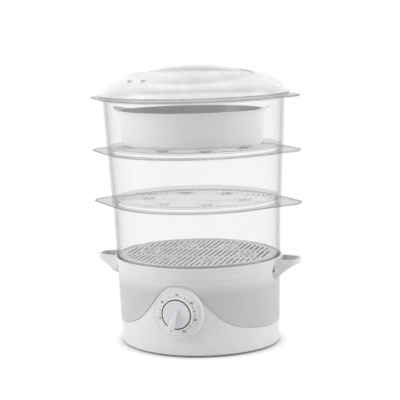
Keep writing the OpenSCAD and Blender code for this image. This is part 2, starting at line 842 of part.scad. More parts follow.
// ---------------------------------------------------------------- bowls
// An ear seen from above: its sides leave the outline, grown by grow, as tangents of its front arc
module ear_plan(grow) {
    corner = [ear_reach - ear_corner_r, ear_tip_half - ear_corner_r];
    front_r = body[3] + grow;
    to_corner = corner + [0, body[2]];
    a = atan2(to_corner[1], to_corner[0]) + acos((front_r - ear_corner_r) / norm(to_corner));
    half = concat([front_r * [cos(a), sin(a)] - [0, body[2]]], arc(corner, ear_corner_r, a, 0));
    polygon(concat(half, [for (i = [len(half) - 1:-1:0]) [half[i][0], -half[i][1]]]));
}

// Both ears at height z, left outside the outline grown by inner
module ears(inner, z) {
    both_sides() translate([0, 0, z]) linear_extrude(flange_t) difference() {
        ear_plan(inner + flange_w - flange_t);
        oval(body, inner);
    }
}

module bowl(b) {
    z0 = b[0];
    z1 = bowl_top(b);
    rim = b[3];
    flange = rim + flange_w - flange_t / 2;
    color("aliceblue") {
        oval_sweep(body) {
            polygon([
                [b[4], z0 - spigot_h], [b[4], z0 + 0.02], [b[2] - 0.8, z0 + 0.02], [b[2], z0 + 0.8],
                [rim, z1 - flange_t], [flange, z1 - flange_t], [flange, z1], [rim - bowl_t, z1],
                [b[2] - bowl_t, tray_z(b)], [b[4] - spigot_t, tray_z(b)], [b[4] - spigot_t, z0 - spigot_h]
            ]);
            translate([flange, z1 - flange_t / 2]) circle(r = flange_t / 2, $fn = 24);
        }
        ears(rim + 1, z1 - flange_t);
    }
}

module lower_bowl() { bowl(lower); }
module middle_bowl() { bowl(middle); }
module upper_bowl() { bowl(upper); }

// Places of the egg rings on the trays
egg_places = [[70, 0], [-70, 0], [30, 48], [-30, 48], [30, -48], [-30, -48]];

egg_wall = 1.5;
rib_y = 26;          // the ribs that cross the slots, from the middle

module slots(b) {
    grow = tray_grow(b) - slot_border;
    cols = floor(half_width(body, grow) / slot_pitch);
    difference() {
        for (i = [-cols:cols]) {
            x = i * slot_pitch;
            y = depth_at(body, grow, abs(x) + slot_w / 2);
            if (y > 8) translate([x - slot_w / 2, -y]) square([slot_w, 2 * y]);
        }
        for (p = egg_places) translate(p) circle(r = egg_seat_r + 1.5);
        for (y = [-1, 1]) translate([-body_w, y * rib_y - slot_rib / 2]) square([2 * body_w, slot_rib]);
    }
}

module tray(b) {
    z = tray_z(b) + 0.02;
    color("aliceblue") difference() {
        union() {
            translate([0, 0, z]) linear_extrude(tray_t) difference() {
                oval(body, tray_grow(b));
                slots(b);
            }
            for (p = egg_places) translate([p[0], p[1], z - egg_ring_h])
                cylinder(r1 = egg_hole_r + egg_wall, r2 = egg_seat_r, h = egg_ring_h + 0.1);
            // upright border that stiffens the tray
            translate([0, 0, z + tray_t - 0.1]) linear_extrude(1.3) difference() {
                oval(body, tray_grow(b));
                oval(body, tray_grow(b) - 1.8);
            }
        }
        for (p = egg_places) translate([p[0], p[1], z - egg_ring_h - eps]) {
            cylinder(r = egg_hole_r, h = 20);
            translate([0, 0, eps + egg_wall])
                cylinder(r1 = egg_hole_r, r2 = egg_seat_r - 0.5, h = egg_ring_h + tray_t - egg_wall + 0.01);
        }
    }
}

module lower_tray() { tray(lower); }
module middle_tray() { tray(middle); }
module upper_tray() { tray(upper); }

// ---------------------------------------------------------------- rice bowl
rice = outline(rice_w, rice_d);
rice_z = tray_z(upper) + tray_t + touch;
rice_top = rice_z + rice_h;
rice_floor = 25;      // width of the curved border of its bottom

module rice_bowl() {
    round_r = 8;
    round_a = [0:15:75];
    color("ghostwhite") translate([-rice_aside, 0, 0]) {
        oval_sweep(rice) polygon(concat(
            [[-rice_floor, rice_z]],
            [for (a = round_a) [-rice_taper - round_r * (1 - sin(a)), rice_z + round_r * (1 - cos(a))]],
            [[-rice_taper * 0.85, rice_z + round_r], [0, rice_top], [-rice_t, rice_top]],
            [[-rice_taper * 0.85 - rice_t, rice_z + round_r]],
            [for (a = [75:-15:0]) [
                -rice_taper - rice_t - (round_r - rice_t) * (1 - sin(a)),
                rice_z + rice_t + (round_r - rice_t) * (1 - cos(a))]],
            [[-rice_floor, rice_z + rice_t]]));
        oval_slab(rice, -rice_floor + 1, rice_z, rice_z + rice_t);
        // rim bead
        oval_sweep(rice) translate([0.4, rice_top - 1.2]) circle(r = 1.2, $fn = 24);
        // raised end tabs
        both_sides() difference() {
            intersection() {
                translate([0, 0, rice_top - 3]) linear_extrude(12)
                    polygon(tab_outline(half_width(rice, -6), 26, rice_tab_reach, 14, 10));
                rotate([90, 0, 0]) translate([0, 0, -40]) linear_extrude(80) polygon([
                    [half_width(rice, -1), rice_top - 2.4], [half_width(rice, 2), rice_top - 2.4],
                    [rice_tab_reach + 1, rice_top + 2.6], [rice_tab_reach + 1, rice_top + 5],
                    [half_width(rice, 1.6), rice_top], [half_width(rice, -1), rice_top]
                ]);
            }
            oval_slab(rice, -0.5, rice_top - 10, rice_top + 10);
        }
    }
}

// ---------------------------------------------------------------- lid
// Points on the dome's curve, from the rim up to just inside the grip pocket
dome_last = 68;      // angle of the last point
dome_steps = 12;
function dome_curve(shrink) = [
    for (i = [0:dome_steps]) let (a = dome_last * i / dome_steps) [
        (dome_a - shrink) * pow(cos(a), 2 / dome_power) - half_width(body, 0),
        lid_z + (dome_h - shrink) * pow(sin(a), 2 / dome_power)]];
function turned(v) = [for (i = [len(v) - 1:-1:0]) v[i]];

module lens(half_l, half_w, z0, z1, draft) {
    r = (half_l * half_l + half_w * half_w) / (2 * half_w);
    intersection_for(s = [-1, 1])
        translate([0, s * (r - half_w), z0])
            cylinder(r1 = r - draft, r2 = r, h = z1 - z0, $fn = 360);
}

// The pocket's space, grown by its wall where that is wanted: a lens over a dished floor
module pocket(grow) {
    intersection() {
        lens(pocket_half + grow, pocket_wide + grow, pocket_z - 2 * lid_t, dome_top + 4, pocket_draft);
        translate([0, pocket_half, pocket_z + pocket_bend]) rotate([90, 0, 0])
            cylinder(r = pocket_bend + grow, h = 2 * pocket_half, $fn = 360);
    }
}

module lid_dome() {
    outer = dome_curve(0);
    top = outer[len(outer) - 1];
    rim_z = bowl_top(upper);
    skirt_grow = upper[3] - bowl_t - fit;
    neck = upper[3] + 1.2;               // outer face of the step that lifts the flange off the rim
    edge = lid_flange_grow - flange_t / 2;
    color("aliceblue") {
        difference() {
            union() {
                oval_sweep(body) polygon(concat(outer, turned(dome_curve(lid_t))));
                // the pocket's wall, up to the dome, and its floor
                intersection() {
                    union() {
                        oval_sweep(body)
                            polygon(concat(outer, [[top[0], lid_z + 2]], [[outer[0][0], lid_z]]));
                        oval_slab(body, top[0] + 1, pocket_z - 2 * lid_t, dome_top - pocket_depth / 2);
                    }
                    pocket(lid_t);
                }
            }
            pocket(0);
            for (p = vent_places) translate([p[0], p[1], lid_z]) cylinder(r = vent_r, h = dome_h);
            translate([0, 0, pocket_z - 10]) cylinder(r = screw_r + 0.2, h = 20);
        }
        oval_sweep(body) {
            polygon([
                [skirt_grow - lid_t, rim_z - spigot_h], [skirt_grow, rim_z - spigot_h],
                [skirt_grow, rim_z + 0.02], [neck, rim_z + 0.02], [neck, lid_z], [edge, lid_z],
                [edge, lid_z + flange_t], [skirt_grow - lid_t, lid_z + flange_t]
            ]);
            translate([edge, lid_z + flange_t / 2]) circle(r = flange_t / 2, $fn = 24);
        }
    }
}

// Side view of the handle: an arch over a straight lower edge
module handle_side(shrink) {
    rise = handle_top - handle_z - 2.2;
    r = (handle_half * handle_half + rise * rise) / (2 * rise);
    intersection() {
        translate([0, handle_top - r]) circle(r = r - shrink, $fn = 240);
        translate([-handle_half, handle_z - (shrink > 0 ? eps : 0)]) square([2 * handle_half, 60]);
    }
}

// The handle's body: its side view cut to a long narrow lens, seen from above
module handle_body(shrink) {
    intersection() {
        rotate([90, 0, 0]) translate([0, 0, -handle_w]) linear_extrude(2 * handle_w)
            handle_side(shrink);
        lens(handle_half - shrink, handle_w / 2 - shrink, handle_z - 2 * eps, handle_top + eps, 0);
    }
}

module lid_handle() {
    // the post's flat foot stands on the dished floor
    post_z = pocket_z + pocket_bend - sqrt(pocket_bend * pocket_bend - post_r * post_r) + 0.02;
    color("aliceblue") difference() {
        union() {
            difference() {
                handle_body(0);
                handle_body(lid_t);
            }
            translate([0, 0, post_z]) cylinder(r = post_r, h = handle_top - 1 - post_z);
        }
        translate([0, 0, pocket_z - eps]) cylinder(r = screw_r, h = 16);
    }
}

module handle_screw() {
    color("silver") {
        translate([0, 0, pocket_z - lid_t - 1.8]) cylinder(r = 3.4, h = 1.8);
        translate([0, 0, pocket_z - lid_t - 1.8]) cylinder(r = screw_r - 0.02, h = 15);
    }
}

// ---------------------------------------------------------------- drawing
lower_housing();
wrap_panel();
water_tank();
bottom_cover();
feet();
cover_screws();
dial_plate();
timer_plate();
timer_case();
timer_bush();
timer_bell();
timer_contacts();
timer_screws();
heater_plate();
heater_casting();
heater_element();
heater_gasket();
heater_clamp();
heater_screws();
thermostat();
thermal_fuse();
fuse_clip();
terminal_block();
terminal_screws();
cord_grommet();
knob();
timer_shaft();
timer_cam();
spring_drum();
steam_sleeve();
drip_tray();
lower_bowl();
lower_tray();
middle_bowl();
middle_tray();
upper_bowl();
upper_tray();
rice_bowl();
lid_dome();
lid_handle();
handle_screw();
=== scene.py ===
"""Electric food steamer: finishes, smooth visible pieces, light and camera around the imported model.

Lengths are in metres. The front is towards -Y, with the timer knob, and the table is at z = 0."""

import math

import bmesh
import bpy
from mathutils import Matrix, Vector


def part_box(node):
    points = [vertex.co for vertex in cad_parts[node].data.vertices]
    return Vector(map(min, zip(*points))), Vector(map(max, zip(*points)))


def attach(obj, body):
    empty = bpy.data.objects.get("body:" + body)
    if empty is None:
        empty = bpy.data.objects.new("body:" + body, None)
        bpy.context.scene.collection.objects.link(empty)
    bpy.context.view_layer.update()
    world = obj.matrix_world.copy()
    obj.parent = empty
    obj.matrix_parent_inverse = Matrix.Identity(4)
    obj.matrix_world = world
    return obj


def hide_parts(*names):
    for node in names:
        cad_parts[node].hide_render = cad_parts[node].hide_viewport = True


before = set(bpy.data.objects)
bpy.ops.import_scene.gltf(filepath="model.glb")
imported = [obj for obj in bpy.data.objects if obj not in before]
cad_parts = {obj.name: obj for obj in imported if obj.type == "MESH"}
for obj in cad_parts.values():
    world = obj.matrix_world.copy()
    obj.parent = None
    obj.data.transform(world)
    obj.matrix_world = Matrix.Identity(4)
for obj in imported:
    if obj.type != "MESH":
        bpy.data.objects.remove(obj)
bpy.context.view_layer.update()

MM = 0.001
TAU = 2 * math.pi

# ------------------------------------------------------------------ sizes
RING = 360                     # points round an oval piece
SEAM = math.atan2(3, 4)        # where the side arc of an oval meets its front arc
SHARP = 35                     # edges sharper than this, in degrees, aren't smoothed
WELD = 0.01 * MM               # points nearer than this are merged
SKIN = 0.3 * MM                # a face this near a surface counts as lying on it
EDGE_STEPS = 8                 # steps round the edge of a flange

BOWL_WALL = 2.2 * MM
BOWL_FIT = 0.6 * MM            # loose clearance between pieces that lift out
FLANGE = 6.5 * MM              # width of the flange round a bowl's rim
PLATE = 2.4 * MM               # thickness of flanges and ears
SPIGOT = 5 * MM                # depth of the spigot under a bowl
SPIGOT_WALL = 1.8 * MM
LEDGE = 3.5 * MM               # the tray lies this far above the bowl's seat
EAR_TIP = 17 * MM              # half width of a clear ear at its tip
EAR_SHORT = 3 * MM             # a visible ear ends this far inside its solid
EAR_CORNER = 12 * MM
LOWER_SPIGOT = -0.1 * MM       # the lower bowl's spigot, past the body's outline

LID_WALL = 2 * MM
DOME_OUT = 0.6 * MM            # the dome's foot lies this far outside the upper bowl's rim
DOME_HEIGHT = 37 * MM
DOME_POWER = 2.3               # squareness of its shoulders; 2 is an ellipse
LID_FLANGE = 7.1 * MM          # the lid's flange past the upper bowl's rim
SKIRT_DROP = 6.5 * MM          # the skirt hangs this far under the lid's flange
POCKET_HALF = 92 * MM          # the grip pocket, a lens seen from above
POCKET_WIDE = 44 * MM
POCKET_DEPTH = 20 * MM
POCKET_DRAFT = 6 * MM          # the pocket's wall leans in this far over its rise
POCKET_RISE = 28 * MM
POCKET_ABOVE = 4 * MM          # the lean is counted from this far above the dome's top
POCKET_BEND = 380 * MM         # radius of the pocket's dished floor
POCKET_LIP = 0.3 * MM          # least height of the pocket's wall, at its two ends
LID_SEAT = 1.5 * MM            # the lid's flange lies this far above the upper bowl's top
SCREW_HOLE = 1.7 * MM
VENTS = [(-67 * MM, -67 * MM), (-44 * MM, -79 * MM)]
VENT_R = 2.4 * MM

HANDLE_HALF = 82 * MM
HANDLE_WIDE = 20 * MM
HANDLE_RISE = 10.8 * MM
BAR_DROP = 13.6 * MM           # from the top of the bar to its lower edge
BAR_STATIONS = 72
BAR_END = 0.995                # the bar is cut off at this share of its half length
POST_R = 6.3 * MM

RICE_WALL = 2 * MM
RICE_HEIGHT = 49 * MM          # without the end tabs
RICE_TAPER = 2.5 * MM
RICE_FLAT = 25 * MM            # the flat of its bottom lies this far inside its outline
RICE_ROUND = 8 * MM
RICE_ROUND_STEP = 13           # degrees from one ring of its round foot to the next
RICE_ROUND_RINGS = 7
RICE_LIP = 1.6 * MM            # the rim's width past the outline
RICE_TAB_RISE = 5 * MM
RICE_TAB_ROOT = 30 * MM
RICE_SHARES = (0.3, 0.7)       # sizes of the rings on the flat of its bottom

DIAL_Z = 62 * MM
DIAL_R = 29.5 * MM
KNOB_R = 19.3 * MM
KNOB_DISC = 5.3 * MM           # thickness of the knob without its pointer
RIDGE_RISE = 4.2 * MM          # the ridge round the knob, above the knob's back
POINTER_TAIL = -8.2 * MM
POINTER_PAST = 3.1 * MM        # the pointer's tip lies this far past the knob
POINTER_STEPS = 40
ZERO_ANGLE = math.radians(201)  # the zero mark, clockwise from the top
NUMBER_STEP = math.radians(53)  # from one number to the next
NUMBER_STEPS = 6               # from 0 to 60
NUMBER_R = 25.4 * MM
MARK_PARTS = 4                 # marks share each step into this many parts
MARK_IN = 22.4 * MM
MARK_SHORT = (24.6 * MM, 0.28 * MM)   # outer radius and half width
MARK_LONG = (25.2 * MM, 0.4 * MM)
PRINT_LIFT = 0.02 * MM         # the print lies this far off the dial plate
PRINT_DEPTH = 0.05 * MM


def outline(width, depth):
    """The four arcs of an oval: shift and radius of its side arcs, then of its front arcs."""
    unit = (width - depth) / 4
    side_r = depth - width / 2
    return 4 * unit, side_r, 3 * unit, side_r + 5 * unit


BODY = outline(224 * MM, 192 * MM)
RICE = outline(206 * MM, 147 * MM)


def half_width(oval, grow=0.0):
    return oval[0] + oval[1] + grow


def half_depth(oval, grow=0.0):
    return oval[3] + grow - oval[2]


def oval_point(oval, grow, angle):
    """The point of a grown oval where its outward normal has that angle."""
    side_shift, side_r, front_shift, front_r = oval
    c, s = math.cos(angle), math.sin(angle)
    if abs(s) <= math.sin(SEAM):
        return Vector((math.copysign(side_shift, c) + (side_r + grow) * c, (side_r + grow) * s))
    return Vector(((front_r + grow) * c, (front_r + grow) * s - math.copysign(front_shift, s)))


def growth_at(oval, x, y):
    """How far a point of the plan lies outside the oval; negative inside."""
    side_shift, side_r, front_shift, front_r = oval
    x, y = abs(x), abs(y)
    if x > side_shift and y <= (x - side_shift) * math.tan(SEAM):
        return math.hypot(x - side_shift, y) - side_r
    return math.hypot(x, y + front_shift) - front_r


def oval_ring(oval, grow, z, count=RING):
    return [(*oval_point(oval, grow, TAU * i / count), z) for i in range(count)]


# ------------------------------------------------------------------ mesh helpers
def mesh_piece(name, verts, faces, sharp=SHARP):
    """A piece with outward normals, smooth apart from edges sharper than the given angle."""
    mesh = bpy.data.meshes.new(name)
    mesh.from_pydata([tuple(v) for v in verts], [], faces)
    built = bmesh.new()
    built.from_mesh(mesh)
    bmesh.ops.remove_doubles(built, verts=built.verts, dist=WELD)
    bmesh.ops.recalc_face_normals(built, faces=built.faces)
    built.to_mesh(mesh)
    built.free()
    mesh.shade_smooth()
    mesh.set_sharp_from_angle(angle=math.radians(sharp))
    piece = bpy.data.objects.new(name, mesh)
    bpy.context.scene.collection.objects.link(piece)
    return piece


def loft(name, rings, closed=True, sharp=SHARP):
    """A skin through rings of equally many points. An open one is capped at both ends."""
    count = len(rings[0])
    verts = [p for ring in rings for p in ring]
    faces = []
    for k in range(len(rings) if closed else len(rings) - 1):
        a, b = k * count, (k + 1) % len(rings) * count
        for i in range(count):
            j = (i + 1) % count
            faces.append((a + i, a + j, b + j, b + i))
    if not closed:
        for start, ring in ((0, rings[0]), (len(verts) - count, rings[-1])):
            middle = sum((Vector(p) for p in ring), Vector()) / count
            verts.append(middle)
            faces += [(start + i, start + (i + 1) % count, len(verts) - 1) for i in range(count)]
    return mesh_piece(name, verts, faces, sharp)


def rounded(corners, steps=4):
    """A closed profile whose corners, given as (x, y, radius), are rounded."""
    points = []
    for k, (x, y, radius) in enumerate(corners):
        corner = Vector((x, y))
        back = Vector(corners[k - 1][:2]) - corner
        on = Vector(corners[(k + 1) % len(corners)][:2]) - corner
        if radius == 0:
            points.append(corner)
            continue
        cut = radius / math.tan(back.angle(on) / 2)
        cut = min(cut, 0.45 * back.length, 0.45 * on.length)
        start, end = corner + back.normalized() * cut, corner + on.normalized() * cut
        for s in range(steps + 1):
            t = s / steps
            points.append(start * (1 - t) ** 2 + corner * 2 * t * (1 - t) + end * t * t)
    return points


def turned(name, profile, where, count=96, closed=False):
    """A piece turned about its axis: profile holds (radius, height), where sets it in the frame."""
    rings = [
        [where @ Vector((r * math.cos(TAU * i / count), r * math.sin(TAU * i / count), h))
         for i in range(count)] for r, h in profile]
    return loft(name, rings, closed)


def lift(t, a, b):
    """Goes from a to b as t goes from 0 to 1, level at both ends."""
    t = max(0.0, min(1.0, t))
    return a + (b - a) * t * t * (3 - 2 * t)


# ------------------------------------------------------------------ materials
def new_material(name):
    material = bpy.data.materials.new(name)
    material.use_nodes = True
    nodes = material.node_tree.nodes
    nodes.clear()
    output = nodes.new("ShaderNodeOutputMaterial")
    coords = nodes.new("ShaderNodeTexCoord")
    return material, material.node_tree, output, coords.outputs["Object"]


def noise(tree, coords, scale, detail=3.0, stretch=None):
    """Noise at a scale per metre, stretched along the axes if asked."""
    if stretch:
        mapping = tree.nodes.new("ShaderNodeMapping")
        mapping.inputs["Scale"].default_value = stretch
        tree.links.new(coords, mapping.inputs["Vector"])
        coords = mapping.outputs["Vector"]
    texture = tree.nodes.new("ShaderNodeTexNoise")
    texture.inputs["Scale"].default_value = scale
    texture.inputs["Detail"].default_value = detail
    tree.links.new(coords, texture.inputs["Vector"])
    return texture.outputs["Fac"]


def spread(tree, value, low, high, start=0.3, end=0.7):
    """Maps a value from the range start to end to the range low to high."""
    node = tree.nodes.new("ShaderNodeMapRange")
    node.inputs["From Min"].default_value = start
    node.inputs["From Max"].default_value = end
    node.inputs["To Min"].default_value = low
    node.inputs["To Max"].default_value = high
    tree.links.new(value, node.inputs["Value"])
    return node.outputs["Result"]


def two_tone(tree, value, dark, light):
    """A colour between two, by a noise value."""
    ramp = tree.nodes.new("ShaderNodeValToRGB")
    ramp.color_ramp.elements[0].position = 0.3
    ramp.color_ramp.elements[1].position = 0.7
    ramp.color_ramp.elements[0].color = (*dark, 1)
    ramp.color_ramp.elements[1].color = (*light, 1)
    tree.links.new(value, ramp.inputs["Fac"])
    return ramp.outputs["Color"]


def bump(tree, height, strength, distance, edge=0.0):
    """A bumped normal; edge rounds the corners of a sharp CAD mesh by that radius."""
    node = tree.nodes.new("ShaderNodeBump")
    node.inputs["Strength"].default_value = strength
    node.inputs["Distance"].default_value = distance
    tree.links.new(height, node.inputs["Height"])
    if edge:
        soft = tree.nodes.new("ShaderNodeBevel")
        soft.inputs["Radius"].default_value = edge
        tree.links.new(soft.outputs["Normal"], node.inputs["Normal"])
    return node.outputs["Normal"]


def solid(name, colour, roughness, vary=0.03, grain=900.0, grain_depth=0.02 * MM,
          metallic=0.0, coat=0.0, stretch=None, edge=0.0):
    """An opaque finish: slight colour and gloss variation and a fine surface grain."""
    material, tree, output, coords = new_material(name)
    shader = tree.nodes.new("ShaderNodeBsdfPrincipled")
    shader.inputs["Metallic"].default_value = metallic
    shader.inputs["Coat Weight"].default_value = coat
    shader.inputs["Coat Roughness"].default_value = 0.12
    cloud = noise(tree, coords, 22.0, stretch=stretch)
    dark = [max(0.0, c * (1 - vary)) for c in colour]
    light = [min(1.0, c * (1 + vary)) for c in colour]
    tree.links.new(two_tone(tree, cloud, dark, light), shader.inputs["Base Color"])
    tree.links.new(spread(tree, cloud, roughness * 0.88, roughness * 1.12), shader.inputs["Roughness"])
    fine = noise(tree, coords, grain, 2.0, stretch)
    tree.links.new(bump(tree, fine, 0.35, grain_depth, edge), shader.inputs["Normal"])
    tree.links.new(shader.outputs["BSDF"], output.inputs["Surface"])
    return material


def panel_grey_painted_sheen(name, below, above, boundary, blur):
    """The wrap panel's grey, which fades to a lighter tone under the collar: a painted sheen for the
    lamps' reflection there.
    """
    material = solid(name, below, 0.42, vary=0.015, edge=0.5 * MM)
    tree = material.node_tree
    shader = tree.nodes["Principled BSDF"]
    coords = tree.nodes["Texture Coordinate"].outputs["Object"]
    split = tree.nodes.new("ShaderNodeSeparateXYZ")
    tree.links.new(coords, split.inputs["Vector"])
    share = spread(tree, split.outputs["Z"], 0.0, 1.0, boundary - blur / 2, boundary + blur / 2)
    blend = tree.nodes.new("ShaderNodeMix")
    blend.data_type = "RGBA"
    tree.links.new(share, blend.inputs["Factor"])
    tree.links.new(shader.inputs["Base Color"].links[0].from_socket, blend.inputs["A"])
    blend.inputs["B"].default_value = (*above, 1)
    tree.links.new(blend.outputs["Result"], shader.inputs["Base Color"])
    return material


def math_node(tree, operation, first, second):
    """One step of arithmetic; second is a number or an output."""
    node = tree.nodes.new("ShaderNodeMath")
    node.operation = operation
    tree.links.new(first, node.inputs[0])
    if isinstance(second, (int, float)):
        node.inputs[1].default_value = second
    else:
        tree.links.new(second, node.inputs[1])
    return node.outputs["Value"]


def mix_shaders(tree, share, first, second):
    """The first shader, fading to the second as share goes from 0 to 1."""
    node = tree.nodes.new("ShaderNodeMixShader")
    tree.links.new(share, node.inputs[0])
    tree.links.new(first, node.inputs[1])
    tree.links.new(second, node.inputs[2])
    return node.outputs["Shader"]


def levelness(tree):
    """1 on level faces and 0 on upright ones."""
    coords = tree.nodes.new("ShaderNodeTexCoord")
    split = tree.nodes.new("ShaderNodeSeparateXYZ")
    tree.links.new(coords.outputs["Normal"], split.inputs["Vector"])
    upright = math_node(tree, "MULTIPLY", split.outputs["Z"], split.outputs["Z"])
    return spread(tree, upright, 0.0, 1.0, 0.5, 0.9)


def clear(name, tint, shade, body, edge, power=6.0, gloss=0.25, rough=0.12, sides=None):
    """Clear moulded plastic: body is its opacity seen square on, edge its opacity at a glance.

    sides, where given, is the opacity and the shade of its upright faces."""
    material, tree, output, coords = new_material(name)
    nodes, links = tree.nodes, tree.links
    facing = nodes.new("ShaderNodeLayerWeight")
    facing.inputs["Blend"].default_value = 0.5
    curve = math_node(tree, "POWER", facing.outputs["Facing"], power)
    cloud = noise(tree, coords, 16.0, 2.0, (1.0, 1.0, 0.35))
    opacity = spread(tree, curve, body, edge, 0.0, 1.0)
    colour = two_tone(tree, cloud, [c * 0.97 for c in shade], shade)
    # Upright faces can take their own shade: on the trays a dark one, painted shade in the slots beside
    # light, lit-looking level faces.
    if sides:
        level = levelness(tree)
        opacity = math_node(tree, "MULTIPLY", opacity, level)
        opacity = math_node(tree, "ADD", opacity, spread(tree, level, sides[0], 0.0, 0.0, 1.0))
        blend = nodes.new("ShaderNodeMix")
        blend.data_type = "RGBA"
        links.new(level, blend.inputs["Factor"])
        blend.inputs["A"].default_value = (*sides[1], 1)
        links.new(colour, blend.inputs["B"])
        colour = blend.outputs["Result"]
    haze = math_node(tree, "MULTIPLY", opacity, spread(tree, cloud, 0.85, 1.15))
    through = nodes.new("ShaderNodeBsdfTransparent")
    through.inputs["Color"].default_value = (*tint, 1)
    skin = nodes.new("ShaderNodeBsdfPrincipled")
    links.new(colour, skin.inputs["Base Color"])
    links.new(spread(tree, cloud, rough * 0.8, rough * 1.3), skin.inputs["Roughness"])
    fine = noise(tree, coords, 140.0, 2.0)
    normal = bump(tree, fine, 0.12, 0.05 * MM)
    links.new(normal, skin.inputs["Normal"])
    plastic = mix_shaders(tree, haze, through.outputs["BSDF"], skin.outputs["BSDF"])
    shine = nodes.new("ShaderNodeBsdfGlossy")
    shine.inputs["Roughness"].default_value = rough
    links.new(normal, shine.inputs["Normal"])
    glance = nodes.new("ShaderNodeLayerWeight")
    glance.inputs["Blend"].default_value = 0.25
    # A wall's inner side doesn't shine: seen from within the plastic it would reflect everything.
    side = nodes.new("ShaderNodeNewGeometry")
    outer_side = math_node(tree, "LESS_THAN", side.outputs["Backfacing"], 0.5)
    gleam = math_node(tree, "MULTIPLY", glance.outputs["Fresnel"], gloss)
    gleam = math_node(tree, "MULTIPLY", gleam, outer_side)
    links.new(mix_shaders(tree, gleam, plastic, shine.outputs["BSDF"]), output.inputs["Surface"])
    return material


WHITE = (0.765, 0.765, 0.773)
FINISH = {
    "white": solid("white_plastic", WHITE, 0.34, vary=0.012, coat=0.15, edge=0.7 * MM),
    # the lighter tone above the boundary is a painted sheen
    "panel": panel_grey_painted_sheen("grey_panel_painted_sheen", (0.56, 0.56, 0.565), (0.70, 0.70, 0.707), 93 * MM, 14 * MM),
    "cover": solid("grey_cover", (0.30, 0.30, 0.31), 0.6, vary=0.05, grain=500.0, edge=0.3 * MM),
    "feet": solid("foot_rubber", (0.035, 0.035, 0.038), 0.8, vary=0.2, grain=700.0),
    "grommet": solid("grommet_rubber", (0.32, 0.32, 0.33), 0.7, vary=0.1, grain=700.0),
    "steel": solid("bright_steel", (0.62, 0.62, 0.64), 0.3, metallic=1.0, vary=0.06,
                   stretch=(1.0, 1.0, 30.0)),
    "brushed": solid("brushed_steel", (0.66, 0.66, 0.67), 0.33, metallic=1.0, vary=0.05,
                     stretch=(1.0, 40.0, 1.0)),
    "cast": solid("cast_aluminium", (0.55, 0.55, 0.57), 0.55, metallic=1.0, vary=0.08, grain=350.0),
    "element": solid("stained_steel", (0.24, 0.22, 0.21), 0.45, metallic=1.0, vary=0.25),
    "brass": solid("turned_brass", (0.72, 0.5, 0.2), 0.3, metallic=1.0, vary=0.06),
    "silicone": solid("red_silicone", (0.42, 0.06, 0.04), 0.55, vary=0.1),
    "natural": solid("natural_plastic", (0.66, 0.61, 0.5), 0.5, vary=0.04),
    "ceramic": solid("glazed_ceramic", (0.78, 0.76, 0.7), 0.2, vary=0.03),
    "dial": solid("dial_face", (0.78, 0.78, 0.79), 0.4, vary=0.01),
    "knob": solid("knob_plastic", (0.74, 0.74, 0.755), 0.3, vary=0.01, coat=0.2),
    "print": solid("grey_print", (0.07, 0.07, 0.08), 0.6, vary=0.1),
    "rice": solid("rice_bowl_plastic", (0.85, 0.85, 0.865), 0.3, vary=0.015, coat=0.2),
    "bowl": clear("clear_bowl", (0.985, 0.985, 0.982), (0.25, 0.26, 0.26), body=0.01, edge=0.9),
    # a darker, more opaque copy of the clear plastic for rounded and cut edges: painted dark lines
    # standing in for the edges' refraction
    "edge": clear("clear_edge_painted_dark", (0.88, 0.88, 0.88), (0.15, 0.16, 0.16), body=0.4, edge=0.9,
                  power=2.0, gloss=0.4),
    "lid": clear("clear_lid", (0.98, 0.98, 0.975), (0.9, 0.91, 0.895), body=0.3, edge=0.8,
                 power=3.0, gloss=0.3, rough=0.25),
    # a greyer copy of the lid's plastic: painted shade in the grip pocket
    "pocket": clear("clear_pocket_painted_shade", (0.96, 0.962, 0.96), (0.26, 0.27, 0.27), body=0.3, edge=0.6,
                    power=2.0, gloss=0.2, rough=0.25),
    "handle": clear("clear_handle", (0.99, 0.99, 0.99), (0.97, 0.975, 0.975), body=0.25, edge=0.4,
                    gloss=0.3, sides=(0.88, (0.98, 0.985, 0.985))),
    "post": clear("clear_post", (0.97, 0.97, 0.97), (0.25, 0.26, 0.26), body=0.05, edge=0.75, power=4.0),
    # light level faces and dark upright slot walls: painted light on the ribs and painted shade in the
    # slots
    "tray": clear("clear_tray", (0.985, 0.987, 0.985), (0.9, 0.91, 0.91), body=0.1, edge=0.25,
                  power=3.0, gloss=0.8, rough=0.15, sides=(0.12, (0.5, 0.51, 0.51))),
    # the tray plastic made whiter and more opaque: painted light for the lower tray, which gets little
    # light through the bowls above
    "tray_painted_light": clear("clear_tray_painted_light", (0.98, 0.982, 0.98), (1.0, 1.0, 1.0), body=0.75, edge=0.75,
                      power=3.0, gloss=1.0, rough=0.15, sides=(0.6, (0.9, 0.91, 0.91))),
    "tank": solid("tank_plastic", (0.735, 0.735, 0.743), 0.34, vary=0.012, coat=0.15, edge=0.7 * MM),
    # the rice bowl's plastic made darker, as painted shade for its inside
    "rice_painted_shade": solid("rice_bowl_painted_shade", (0.6, 0.6, 0.615), 0.3, vary=0.015, coat=0.2),
    # near black: painted shadow for the deep gap round the knob
    "gap": solid("shadow_gap", (0.02, 0.02, 0.022), 0.8, vary=0.1),
}
